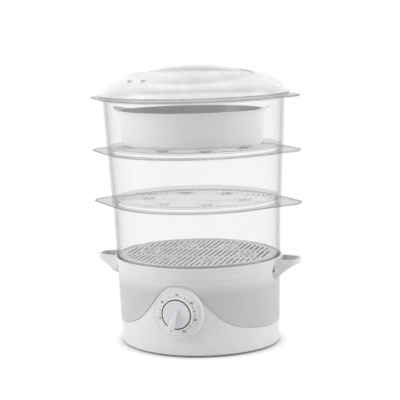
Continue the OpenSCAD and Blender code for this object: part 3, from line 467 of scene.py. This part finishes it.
NODE_FINISH = {
    "white": ["lower_housing", "steam_sleeve", "drip_tray", "timer_cam"],
    "tank": ["water_tank"],
    "panel": ["wrap_panel"],
    "cover": ["bottom_cover"],
    "feet": ["feet"],
    "grommet": ["cord_grommet"],
    "steel": ["cover_screws", "timer_screws", "heater_screws", "handle_screw", "timer_plate",
              "timer_bell", "spring_drum", "heater_clamp", "fuse_clip"],
    "brushed": ["heater_plate"],
    "cast": ["heater_casting", "thermostat"],
    "element": ["heater_element"],
    "brass": ["timer_bush", "timer_contacts", "timer_shaft", "terminal_screws"],
    "silicone": ["heater_gasket"],
    "natural": ["timer_case", "terminal_block"],
    "ceramic": ["thermal_fuse"],
    "dial": ["dial_plate"],
    "knob": ["knob"],
    "rice": ["rice_bowl"],
    "bowl": ["lower_bowl", "middle_bowl", "upper_bowl"],
    "tray": ["middle_tray", "upper_tray"],
    "tray_painted_light": ["lower_tray"],
    "lid": ["lid_dome"],
    "handle": ["lid_handle"],
}


def dress(piece, finish):
    piece.data.materials.clear()
    piece.data.materials.append(FINISH[finish])


def refinish(piece, finish, chosen):
    """Gives another finish to the faces of a piece for which chosen is true."""
    piece.data.materials.append(FINISH[finish])
    slot = len(piece.data.materials) - 1
    for face in piece.data.polygons:
        if chosen(face):
            face.material_index = slot


def place(piece, body, slot, finish, *replaced):
    """Rides a new piece on its body, gives it its finish and hides the nodes it stands for."""
    dress(piece, finish)
    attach(piece, body)
    if replaced:
        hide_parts(*replaced)
    return piece


for finish, nodes in NODE_FINISH.items():
    for node in nodes:
        dress(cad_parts[node], finish)


# ------------------------------------------------------------------ clear bowls
def ear_side(grow):
    """Where an ear's side leaves the flange's front arc and where it meets the ear's corner."""
    corner = Vector((EAR_REACH - EAR_CORNER, EAR_TIP - EAR_CORNER))
    centre, radius = Vector((0, -BODY[2])), BODY[3] + grow
    across = corner - centre
    angle = math.atan2(across.y, across.x) + math.acos((radius - EAR_CORNER) / across.length)
    out = Vector((math.cos(angle), math.sin(angle)))
    return centre + radius * out, corner + EAR_CORNER * out


def ear_reach_along(direction, root, touch):
    """How far from the centre the ear's outline lies in a plan direction, or 0 beside the ear."""
    dx, dy = abs(direction.x), abs(direction.y)
    corner = Vector((EAR_REACH - EAR_CORNER, EAR_TIP - EAR_CORNER))
    best = 0.0
    if dx > 0 and dy / dx * EAR_REACH <= corner.y:
        best = EAR_REACH / dx
    b = dx * corner.x + dy * corner.y
    inside = b * b - corner.length_squared + EAR_CORNER ** 2
    if inside > 0:
        t = b + math.sqrt(inside)
        hit = Vector((dx, dy)) * t
        if hit.x >= touch.x and hit.y >= corner.y:
            best = max(best, t)
    edge = touch - root
    cross = dx * edge.y - dy * edge.x
    if abs(cross) > 1e-12:
        t = (root.x * edge.y - root.y * edge.x) / cross
        hit = Vector((dx, dy)) * t
        if t > 0 and root.x <= hit.x <= touch.x:
            best = max(best, t)
    return best


def plate_edge(grow):
    """Plan outline of a flange with its two ears, which leave it as tangents."""
    points = []
    root, touch = ear_side(grow)
    for i in range(RING):
        p = oval_point(BODY, grow, TAU * i / RING)
        reach = ear_reach_along(p.normalized(), root, touch)
        points.append(p * max(1.0, reach / p.length))
    return points


def inset(points, depth):
    """A plan outline moved inwards by depth."""
    moved = []
    for i, p in enumerate(points):
        along = (points[(i + 1) % len(points)] - points[i - 1]).normalized()
        moved.append(p - Vector((along.y, -along.x)) * depth)
    return moved


def at_height(points, z):
    return [(p.x, p.y, z) for p in points]


def plate_rings(edge, top, bottom, upwards):
    """Rings over a plate's rounded edge, from its top side to its underside, or the other way."""
    half = (top - bottom) / 2
    middle = (top + bottom) / 2
    rings = [at_height(inset(edge, 3 * half), top)]
    for k in range(EDGE_STEPS + 1):
        a = math.pi / 2 - math.pi * k / EDGE_STEPS
        rings.append(at_height(inset(edge, half * (1 - math.cos(a))), middle + half * math.sin(a)))
    rings.append(at_height(inset(edge, 3 * half), bottom))
    return rings[::-1] if upwards else rings


EAR_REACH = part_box("lower_bowl")[1].x - EAR_SHORT


def bowl_sizes(bowl, tray):
    """A bowl's seat and top heights, and how far its foot and rim lie outside the body's outline."""
    low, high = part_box(bowl)
    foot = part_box(tray)[1].x - half_width(BODY) + BOWL_WALL + BOWL_FIT
    return low.z + SPIGOT, high.z, foot, high.y - half_depth(BODY) - FLANGE


def on_edge(face, grow, top):
    """Whether a face lies on the rounded edge of a flange or of its ears."""
    x, y, z = face.center
    outside = growth_at(BODY, x, y) > grow - PLATE / 2
    return outside and top - PLATE <= z <= top and abs(face.normal.z) < 0.9


def make_bowl(bowl, tray, spigot, body):
    """A clear bowl, from its spigot up its inner face, over its flange and down its outer face."""
    seat, top, foot, rim = bowl_sizes(bowl, tray)
    profile = rounded([
        (spigot - SPIGOT_WALL, seat - SPIGOT, 0.6 * MM), (spigot - SPIGOT_WALL, seat + LEDGE, 0.4 * MM),
        (foot - BOWL_WALL, seat + LEDGE, 0.4 * MM), (rim - BOWL_WALL, top, 0.9 * MM),
        (rim + FLANGE, top, 0), (rim + FLANGE, top - PLATE, 0), (rim, top - PLATE, 1.0 * MM),
        (foot, seat, 0.9 * MM), (spigot, seat, 0.5 * MM), (spigot, seat - SPIGOT, 0.6 * MM)])
    flange = [k for k, (grow, _) in enumerate(profile) if grow > rim + FLANGE / 2]
    rings = [oval_ring(BODY, grow, z) for grow, z in profile[:flange[0]]]
    rings += plate_rings(plate_edge(rim + FLANGE), top, top - PLATE, upwards=False)
    rings += [oval_ring(BODY, grow, z) for grow, z in profile[flange[-1] + 1:]]
    piece = place(loft(bowl + "_shell", rings), body, "clear_plastic", "bowl", bowl)
    # the flange's rounded edge takes the painted dark line of a clear edge
    refinish(piece, "edge", lambda face: on_edge(face, rim + FLANGE, top))


TIERS = ("lower", "middle", "upper")
rims = {tier: bowl_sizes(tier + "_bowl", tier + "_tray")[3] for tier in TIERS}
spigot = LOWER_SPIGOT
for tier in TIERS:
    make_bowl(tier + "_bowl", tier + "_tray", spigot, tier + "_tier")
    spigot = rims[tier] - BOWL_WALL - BOWL_FIT     # the next bowl's spigot drops into this one


# ------------------------------------------------------------------ lid
LID_Z = bowl_sizes("upper_bowl", "upper_tray")[1] + LID_SEAT
DOME_A = half_width(BODY, rims["upper"] + DOME_OUT)
DOME_TOP = LID_Z + DOME_HEIGHT
POCKET_Z = DOME_TOP - POCKET_DEPTH
LENS_R = (POCKET_HALF ** 2 + POCKET_WIDE ** 2) / (2 * POCKET_WIDE)
DOME_STEPS = 28                                     # rings from the dome's foot to the pocket
DOME_END = 0.985                                    # the last of them, as a share of the way
WALL_SHARES = (0.03, 0.1, 0.3, 0.5, 0.7, 0.9, 0.97)  # rings down the pocket's wall
FLOOR_SCALES = (0.985, 0.955, 0.8, 0.6, 0.4, 0.2)   # rings on the pocket's floor
RIM_TRIES = 8                                       # steps to where the wall meets the dome
RIM_PULL = 0.998                                    # draws the rim in, where the wall is too low


def dome_level(share):
    """The dome's height, as a share of its full height, at a share of its half width."""
    return max(0.0, 1 - share ** DOME_POWER) ** (1 / DOME_POWER)


def dome_z(x, y, shrink):
    """Height of the dome's outer face, or of its inner face with the wall as shrink."""
    share = (growth_at(BODY, x, y) + half_width(BODY)) / (DOME_A - shrink)
    return LID_Z + (DOME_HEIGHT - shrink) * dome_level(max(0.0, share))


def lens_point(direction, z, grow):
    """Where a plan direction meets the pocket's lens outline at a height; grow widens the lens."""
    radius = LENS_R + grow - POCKET_DRAFT * (DOME_TOP + POCKET_ABOVE - z) / POCKET_RISE
    shift = LENS_R - POCKET_WIDE
    sine = abs(direction.y)
    return direction * (math.sqrt(radius ** 2 - (shift * direction.x) ** 2) - shift * sine)


def floor_z(x, shrink):
    """Height of the pocket's dished floor, or of its underside with the wall as shrink."""
    return POCKET_Z + POCKET_BEND - math.sqrt((POCKET_BEND + shrink) ** 2 - x * x)


def pocket_rim(direction, shrink):
    """Where the pocket opens in the dome, in a plan direction, and the foot of its wall there."""
    q = direction * POCKET_WIDE
    for _ in range(RIM_TRIES):
        q = lens_point(direction, dome_z(q.x, q.y, shrink), shrink)
    while dome_z(q.x, q.y, shrink) < floor_z(q.x, shrink) + POCKET_LIP:
        q = q * RIM_PULL
    top = dome_z(q.x, q.y, shrink)
    wall = lens_point(direction, floor_z(q.x, shrink), shrink)
    foot = wall if wall.length < q.length else q
    return q, top, foot


def dome_rings(shrink, foot_z):
    """Rings over one face of the dome, from its foot to the middle of the pocket's floor."""
    base = (DOME_A - shrink) * dome_level((foot_z - LID_Z) / (DOME_HEIGHT - shrink))
    feet = [oval_point(BODY, base - half_width(BODY), TAU * i / RING) for i in range(RING)]
    mouths = [pocket_rim(p.normalized(), shrink) for p in feet]
    rings = []
    for k in range(DOME_STEPS + 1):
        t = DOME_END * (k / DOME_STEPS) ** 2
        row = [p * (1 - t) + q * t for p, (q, _, _) in zip(feet, mouths)]
        rings.append([(m.x, m.y, dome_z(m.x, m.y, shrink)) for m in row])
    for share in WALL_SHARES:
        ring = []
        for q, top, foot in mouths:
            m = q * (1 - share) + foot * share
            ring.append((m.x, m.y, top * (1 - share) + floor_z(foot.x, shrink) * share))
        rings.append(ring)
    for scale in FLOOR_SCALES:
        rings.append([(foot.x * scale, foot.y * scale, floor_z(foot.x * scale, shrink))
                      for _, _, foot in mouths])
    rings.append([(*(p.normalized() * SCREW_HOLE), floor_z(0, shrink)) for p in feet])
    return rings


def make_lid():
    """The clear lid: its flange, both faces of its dome and pocket, and the skirt below."""
    rim = rims["upper"]
    skirt = rim - BOWL_WALL - BOWL_FIT
    edge = [oval_point(BODY, rim + LID_FLANGE, TAU * i / RING) for i in range(RING)]
    top = LID_Z + PLATE
    rings = plate_rings(edge, top, LID_Z, upwards=True)
    rings += dome_rings(0.0, top + 0.4 * MM) + dome_rings(LID_WALL, top - 0.4 * MM)[::-1]
    bottom = LID_Z - SKIRT_DROP
    for grow, z in rounded([
            (skirt - LID_WALL, top - 1 * MM, 0.8 * MM), (skirt - LID_WALL, bottom, 0.7 * MM),
            (skirt, bottom, 0.7 * MM), (skirt, LID_Z, 0.6 * MM)]):
        rings.append(oval_ring(BODY, grow, z))
    return loft("lid_shell", rings)


def cut_vents(piece):
    """Two round steam vents through the dome."""
    drills = []
    core = 0.02 * MM
    for k, (x, y) in enumerate(VENTS):
        profile = [(core, LID_Z), (VENT_R, LID_Z), (VENT_R, DOME_TOP), (core, DOME_TOP)]
        drill = turned(f"drill_{k}", profile, Matrix.Translation((x, y, 0)), 40)
        cut = piece.modifiers.new(f"vent_{k}", "BOOLEAN")
        cut.object = drill
        cut.operation = "DIFFERENCE"
        cut.solver = "EXACT"
        drills.append(drill)
    bpy.context.view_layer.update()
    seen = piece.evaluated_get(bpy.context.evaluated_depsgraph_get())
    mesh = bpy.data.meshes.new_from_object(seen)
    piece.modifiers.clear()
    piece.data = mesh
    for drill in drills:
        bpy.data.objects.remove(drill)
    mesh.set_sharp_from_angle(angle=math.radians(SHARP))


def in_pocket(point):
    """Whether a point of the lid lies on the grip pocket's wall or floor."""
    plan = Vector((point.x, point.y))
    if plan.length < POCKET_WIDE / 2:
        return True
    inside = plan.length < lens_point(plan.normalized(), point.z, LID_WALL).length + SKIN
    return inside and point.z < dome_z(point.x, point.y, 0) - SKIN


def in_vent(point):
    """Whether a point of the lid lies on the wall of a vent."""
    near = min(math.hypot(point.x - x, point.y - y) for x, y in VENTS)
    return near < VENT_R + SKIN and point.z > LID_Z + PLATE


def on_lid_edge(face):
    """Whether a face is seen as a cut edge of the lid: its flange's rim or a vent's wall."""
    return on_edge(face, rims["upper"] + LID_FLANGE, LID_Z + PLATE) or in_vent(face.center)


lid = make_lid()
cut_vents(lid)
place(lid, "lid", "clear_plastic", "lid", "lid_dome")
# the pocket's wall and floor take the painted shade of the pocket
refinish(lid, "pocket", lambda face: in_pocket(face.center))
# the lid's flange edge and vent walls take painted dark lines
refinish(lid, "edge", on_lid_edge)


# ------------------------------------------------------------------ lid handle
BAR_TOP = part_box("lid_handle")[1].z
BAR_FOOT = BAR_TOP - BAR_DROP


def make_handle():
    """A hollow arched bar, open below, that tapers to both ends."""
    arch_r = (HANDLE_HALF ** 2 + HANDLE_RISE ** 2) / (2 * HANDLE_RISE)
    plan_r = (HANDLE_HALF ** 2 + (HANDLE_WIDE / 2) ** 2) / HANDLE_WIDE
    rings = []
    for k in range(BAR_STATIONS + 1):
        x = -HANDLE_HALF * BAR_END * math.cos(math.pi * k / BAR_STATIONS)
        wide = math.sqrt(plan_r ** 2 - x * x) - plan_r + HANDLE_WIDE / 2
        top = BAR_TOP - arch_r + math.sqrt(arch_r ** 2 - x * x)
        wall_y = min(LID_WALL, wide * 0.6)
        wall_z = min(LID_WALL, (top - BAR_FOOT) * 0.5)
        section = rounded([
            (-wide, BAR_FOOT, 0.2 * MM), (-wide, top, 1.6 * MM), (wide, top, 1.6 * MM),
            (wide, BAR_FOOT, 0.2 * MM), (wide - wall_y, BAR_FOOT, 0.2 * MM),
            (wide - wall_y, top - wall_z, 0.6 * MM), (-wide + wall_y, top - wall_z, 0.6 * MM),
            (-wide + wall_y, BAR_FOOT, 0.2 * MM)], 3)
        rings.append([(x, p.x, p.y) for p in section])
    return loft("handle_bar", rings, closed=False)


def make_post():
    """The clear tube, on a wider foot, that carries the bar over the middle of the pocket."""
    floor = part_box("lid_handle")[0].z + 0.1 * MM
    top = BAR_TOP - 3 * MM
    foot_r = POST_R + 1.2 * MM
    bore_r = POST_R - LID_WALL
    profile = [(foot_r, floor), (foot_r, floor + 0.8 * MM), (POST_R, floor + 2.2 * MM),
               (POST_R, top), (bore_r, top), (bore_r, floor)]
    return turned("handle_post", profile, Matrix.Identity(4), 64, closed=True)


bar = place(make_handle(), "lid", "clear_plastic", "handle", "lid_handle")
# a painted dark line along the bar's lower edge
refinish(bar, "edge", lambda face: face.center.z < BAR_FOOT + 0.4 * MM)
place(make_post(), "lid", "clear_plastic", "post")


# ------------------------------------------------------------------ rice bowl
def rice_flat(share, z):
    """Ring on the flat of the rice bowl's bottom, at a share of its size."""
    flat = [oval_point(RICE, -RICE_FLAT, TAU * i / RING) for i in range(RING)]
    return [(p.x * share, p.y * share, z) for p in flat]


def make_rice_bowl():
    """The rice bowl, up its outer face, over its rim with the two end tabs, and down inside."""
    low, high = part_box("rice_bowl")
    bottom = low.z
    top = bottom + RICE_HEIGHT
    reach = (high.x - low.x) / 2
    outer = [(-RICE_FLAT, bottom)]
    inner = [(-RICE_FLAT, bottom + RICE_WALL)]
    small = RICE_ROUND - RICE_WALL
    for k in range(RICE_ROUND_RINGS):
        a = math.radians(RICE_ROUND_STEP * k)
        outer.append((-RICE_TAPER - RICE_ROUND * (1 - math.sin(a)),
                      bottom + RICE_ROUND * (1 - math.cos(a))))
        inner.append((-RICE_TAPER - RICE_WALL - small * (1 - math.sin(a)),
                      bottom + RICE_WALL + small * (1 - math.cos(a))))
    rings = [rice_flat(share, bottom) for share in RICE_SHARES]
    rings += [oval_ring(RICE, grow, z) for grow, z in outer]
    rings.append(oval_ring(RICE, -0.6 * MM, top - 5 * MM))

    def lip(past, drop, raised):
        """Ring at the rim, carried out and up over the two end tabs."""
        ring = []
        for i in range(RING):
            p = oval_point(RICE, past, TAU * i / RING)
            share = lift(1 - abs(p.y) / RICE_TAB_ROOT, 0, 1) if abs(p.x) > half_width(RICE) / 2 else 0
            out = share * (reach - half_width(RICE, RICE_LIP)) * raised
            ring.append((p.x + math.copysign(out, p.x), p.y,
                         top - drop + share * RICE_TAB_RISE * raised))
        return ring

    rings += [lip(0.0, 2.4 * MM, 0), lip(0.8 * MM, 2.4 * MM, 0.35), lip(RICE_LIP, 2.2 * MM, 1.0),
              lip(2.0 * MM, 1.2 * MM, 1.0), lip(RICE_LIP, 0.2 * MM, 1.0), lip(0.6 * MM, 0.0, 0.35),
              lip(-1.2 * MM, 0.0, 0.0), lip(-RICE_WALL, 0.6 * MM, 0.0)]
    rings += [oval_ring(RICE, grow, z) for grow, z in inner[::-1]]
    rings += [rice_flat(share, bottom + RICE_WALL) for share in RICE_SHARES[::-1]]
    piece = loft("rice_bowl_shell", rings, closed=False)
    piece.data.transform(Matrix.Translation(((high.x + low.x) / 2, 0, 0)))
    return piece


def paint_shade_inside(piece):
    """Gives the rice bowl's floor and the faces that look inwards a darker copy of its plastic: painted
    shade for the inside, where the lid keeps light off.
    """
    low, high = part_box("rice_bowl")

    def inside(face):
        to_middle = Vector(((low.x + high.x) / 2 - face.center.x, -face.center.y))
        on_floor = face.normal.z > 0.9 and face.center.z < low.z + 10 * MM
        return on_floor or to_middle.dot(face.normal.xy) > 0

    refinish(piece, "rice_painted_shade", inside)


rice = place(make_rice_bowl(), "rice", "rice_plastic", "rice", "rice_bowl")
paint_shade_inside(rice)


# ------------------------------------------------------------------ dial and knob
def facing_front(y):
    """Places a piece drawn along +Z so that it points out of the front, its foot at a depth y."""
    return Matrix.Translation((0, y, DIAL_Z)) @ Matrix.Rotation(math.pi / 2, 4, "X")


def make_dial():
    """The dial plate, with a well for the knob inside a low ridge."""
    low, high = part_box("dial_plate")
    t = high.y - low.y
    floor = 0.3 * t
    ridge = high.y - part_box("knob")[1].y + RIDGE_RISE
    profile = rounded([
        (6 * MM, 0, 0), (6 * MM, floor, 0), (KNOB_R + 1.2 * MM, floor, 0.1 * MM),
        (KNOB_R + 1.2 * MM, ridge, 0.3 * MM), (KNOB_R + 2.2 * MM, ridge, 0.6 * MM),
        (KNOB_R + 2.8 * MM, t, 0.8 * MM), (DIAL_R, t, 0.5 * MM), (DIAL_R, 0, 0)])
    return turned("dial_face", [(p.x, p.y) for p in profile], facing_front(high.y), 144, closed=True)


def darken_well(piece, inner, outer, front):
    """Paints the faces between two radii of the dial, behind a depth, near black: painted shadow for the
    deep gap round the knob.
    """
    def in_well(face):
        r = math.hypot(face.center.x, face.center.z - DIAL_Z)
        return inner < r < outer and face.center.y > front

    refinish(piece, "gap", in_well)


def make_disc():
    """The knob's round body, slightly crowned in front."""
    axis = 0.05 * MM
    side_r = KNOB_R - 0.3 * MM
    profile = rounded([
        (axis, 0, 0), (KNOB_R - 0.5 * MM, 0, 0.4 * MM), (side_r, KNOB_DISC - 1.4 * MM, 0.2 * MM),
        (side_r, KNOB_DISC - 0.6 * MM, 0.4 * MM), (KNOB_R - 2 * MM, KNOB_DISC, 1.2 * MM),
        (axis, KNOB_DISC + 0.4 * MM, 0)], 6)
    return turned("knob_disc", [(p.x, p.y) for p in profile], facing_front(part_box("knob")[1].y))


def make_pointer():
    """The knob's raised pointer, which widens towards its tip and is rounded at both ends."""
    low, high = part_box("knob")
    rise = high.y - low.y - KNOB_DISC
    turn = facing_front(high.y - KNOB_DISC) @ Matrix.Rotation(-ZERO_ANGLE, 4, "Z")
    tip = KNOB_R + POINTER_PAST
    rings = []
    for k in range(POINTER_STEPS + 1):
        s = k / POINTER_STEPS
        along = POINTER_TAIL + (tip - POINTER_TAIL) * s
        wide = lift(s / 0.9, 1.0 * MM, 4.4 * MM)
        ends = min(1.0, (along - POINTER_TAIL) / (1.2 * MM), (tip - along) / (4.3 * MM))
        wide *= math.sqrt(max(0.0, 1 - (1 - ends) ** 2)) + 0.01
        sink = 1 if ends > 0.99 else 0.75 + 0.25 * ends
        top = rise * min(1.0, lift(s / 0.3, 0.25, 1.0)) * sink
        section = rounded([(-wide, -1 * MM, 0), (-wide, top * 0.35, 0.8 * MM),
                           (-0.25 * wide, top, 0.7 * MM), (0.25 * wide, top, 0.7 * MM),
                           (wide, top * 0.35, 0.8 * MM), (wide, -1 * MM, 0)], 3)
        rings.append([turn @ Vector((p.x, along, p.y)) for p in section])
    return loft("knob_pointer", rings, closed=False, sharp=50)


def print_marks(y):
    """Minute marks on the dial plate, every fourth place left free for a number."""
    verts, faces = [], []
    for k in range(NUMBER_STEPS * MARK_PARTS + 1):
        if k % MARK_PARTS == 0:
            continue
        a = ZERO_ANGLE + NUMBER_STEP * k / MARK_PARTS
        outer, half = MARK_SHORT if k % 2 else MARK_LONG
        out = Vector((math.sin(a), math.cos(a)))
        side = Vector((out.y, -out.x)) * half
        corners = [out * MARK_IN - side, out * MARK_IN + side, out * outer + side, out * outer - side]
        base = len(verts)
        verts += [(p.x, y, DIAL_Z + p.y) for p in corners]
        verts += [(p.x, y - PRINT_DEPTH, DIAL_Z + p.y) for p in corners]
        faces += [tuple(base + i for i in f) for f in
                  ((0, 1, 2, 3), (7, 6, 5, 4), (0, 4, 5, 1), (1, 5, 6, 2), (2, 6, 7, 3), (3, 7, 4, 0))]
    place(mesh_piece("minute_marks", verts, faces), "base", "dial_face", "print")


def print_numbers(y):
    """Plain numbers from 0 to 60 on the dial plate."""
    for k in range(NUMBER_STEPS + 1):
        a = ZERO_ANGLE + NUMBER_STEP * k
        text = bpy.data.curves.new(f"minute_{10 * k}", "FONT")
        text.body = str(10 * k)
        text.size = 5.0 * MM
        text.extrude = 0.03 * MM
        text.offset = 0.06 * MM
        text.align_x, text.align_y = "CENTER", "CENTER"
        figure = bpy.data.objects.new(f"minute_{10 * k}", text)
        bpy.context.scene.collection.objects.link(figure)
        spot = Matrix.Translation((NUMBER_R * math.sin(a), y, DIAL_Z + NUMBER_R * math.cos(a)))
        figure.matrix_world = spot @ Matrix.Rotation(math.pi / 2, 4, "X")
        place(figure, "base", "dial_face", "print")


dial = place(make_dial(), "base", "dial_face", "dial", "dial_plate")
knob_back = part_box("knob")[1].y
# painted shadow in the well round the knob
darken_well(dial, 7 * MM, KNOB_R + 1.3 * MM, knob_back - RIDGE_RISE + 0.5 * MM)
disc = place(make_disc(), "dial", "knob_plastic", "knob", "knob")
# painted shadow on the back of the knob's side wall
darken_well(disc, KNOB_R - 1 * MM, KNOB_R + 1 * MM, knob_back - KNOB_DISC + 1.6 * MM)
place(make_pointer(), "dial", "knob_plastic", "knob")
print_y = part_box("dial_plate")[0].y - PRINT_LIFT
print_marks(print_y)
print_numbers(print_y)


# ------------------------------------------------------------------ floor, light and camera
FLOOR_MATT = (0.8, 0.8, 0.8, 1)
FLOOR_GLOW = 0.08
# near the body the floor's lit grey stays, so the fade draws a painted contact-shadow halo round the
# real shadow
FLOOR_FADE = (110 * MM, 124 * MM)   # the shadow fades to white between these, along the depth
WORLD_FILL = 0.47


def make_floor():
    """A pale floor that looks white to the camera; close by the object it keeps the real shadow and a
    grey halo, a painted contact shadow that fades with distance.
    """
    bpy.ops.mesh.primitive_plane_add(size=8, location=(0, 0, 0))
    floor = bpy.context.object
    floor.name = "floor"
    material, tree, output, coords = new_material("floor_white")
    matt = tree.nodes.new("ShaderNodeBsdfDiffuse")
    matt.inputs["Color"].default_value = FLOOR_MATT
    glow = tree.nodes.new("ShaderNodeEmission")
    glow.inputs["Strength"].default_value = FLOOR_GLOW
    near = tree.nodes.new("ShaderNodeAddShader")
    tree.links.new(matt.outputs[0], near.inputs[0])
    tree.links.new(glow.outputs[0], near.inputs[1])
    white = tree.nodes.new("ShaderNodeEmission")
    white.inputs["Strength"].default_value = 1.0
    plan = tree.nodes.new("ShaderNodeMapping")
    plan.inputs["Scale"].default_value = (1, half_width(BODY) / half_depth(BODY), 1)
    tree.links.new(coords, plan.inputs["Vector"])
    away = tree.nodes.new("ShaderNodeVectorMath")
    away.operation = "LENGTH"
    tree.links.new(plan.outputs["Vector"], away.inputs[0])
    fade = spread(tree, away.outputs["Value"], 0.0, 1.0, *FLOOR_FADE)
    seen = mix_shaders(tree, fade, near.outputs[0], white.outputs[0])
    pick = mix_shaders(tree, seen_directly(tree), matt.outputs[0], seen)
    tree.links.new(pick, output.inputs["Surface"])
    floor.data.materials.append(material)


def seen_directly(tree):
    """1 for camera, glossy and transmission rays, which all see the white background."""
    rays = tree.nodes.new("ShaderNodeLightPath")
    total = rays.outputs["Is Camera Ray"]
    for name in ("Is Glossy Ray", "Is Transmission Ray"):
        total = math_node(tree, "MAXIMUM", total, rays.outputs[name])
    return total


def make_world():
    """A white surround for rays that see it directly, and a dimmer one that lights the object."""
    world = bpy.data.worlds.new("studio")
    bpy.context.scene.world = world
    world.use_nodes = True
    tree = world.node_tree
    tree.nodes.clear()
    output = tree.nodes.new("ShaderNodeOutputWorld")
    white = tree.nodes.new("ShaderNodeBackground")
    white.inputs["Color"].default_value = (1, 1, 1, 1)
    white.inputs["Strength"].default_value = 1.0
    fill = tree.nodes.new("ShaderNodeBackground")
    fill.inputs["Color"].default_value = (0.97, 0.98, 1.0, 1)
    fill.inputs["Strength"].default_value = WORLD_FILL
    pick = mix_shaders(tree, seen_directly(tree), fill.outputs[0], white.outputs[0])
    tree.links.new(pick, output.inputs["Surface"])


def softbox(name, place_at, size, power, look_at=(0, 0, 0.2)):
    """A rectangular lamp, in metres and watts, turned towards a point of the object."""
    lamp = bpy.data.lights.new(name, "AREA")
    lamp.shape = "RECTANGLE"
    lamp.size, lamp.size_y = size
    lamp.energy = power
    box = bpy.data.objects.new(name, lamp)
    bpy.context.scene.collection.objects.link(box)
    box.location = place_at
    box.rotation_euler = (Vector(look_at) - Vector(place_at)).to_track_quat("-Z", "Y").to_euler()


def make_camera():
    """The photograph's view: from the front right, a little above, slightly rolled."""
    azimuth, elevation, roll = math.radians(17.07), math.radians(9.0), math.radians(-1.84)
    distance = 1651.26 * MM
    aside, height = 5.02, 198.45    # of the point looked at, in millimetres
    back = Vector((math.sin(azimuth) * math.cos(elevation),
                   -math.cos(azimuth) * math.cos(elevation), math.sin(elevation)))
    right = Vector((math.cos(azimuth), math.sin(azimuth), 0))
    up = back.cross(right)
    target = right * aside * MM + Vector((0, 0, height * MM))
    across = right * math.cos(roll) + up * math.sin(roll)
    upwards = up * math.cos(roll) - right * math.sin(roll)
    eye = target + back * distance
    lens = bpy.data.cameras.new("camera")
    lens.sensor_width = 36
    lens.lens = 106.94
    lens.clip_end = 20
    camera = bpy.data.objects.new("camera", lens)
    bpy.context.scene.collection.objects.link(camera)
    turn = Matrix((across, upwards, back)).transposed().to_4x4()
    camera.matrix_world = Matrix.Translation(eye) @ turn
    bpy.context.scene.camera = camera


make_floor()
make_world()
softbox("key_left", (-1.5, -0.9, 0.9), (0.9, 1.2), 17)
softbox("fill_right", (1.7, 0.1, 0.7), (0.6, 1.2), 13)
softbox("top", (0, 0.1, 1.7), (1.4, 1.0), 12)
make_camera()
bpy.context.scene.view_settings.view_transform = "Standard"
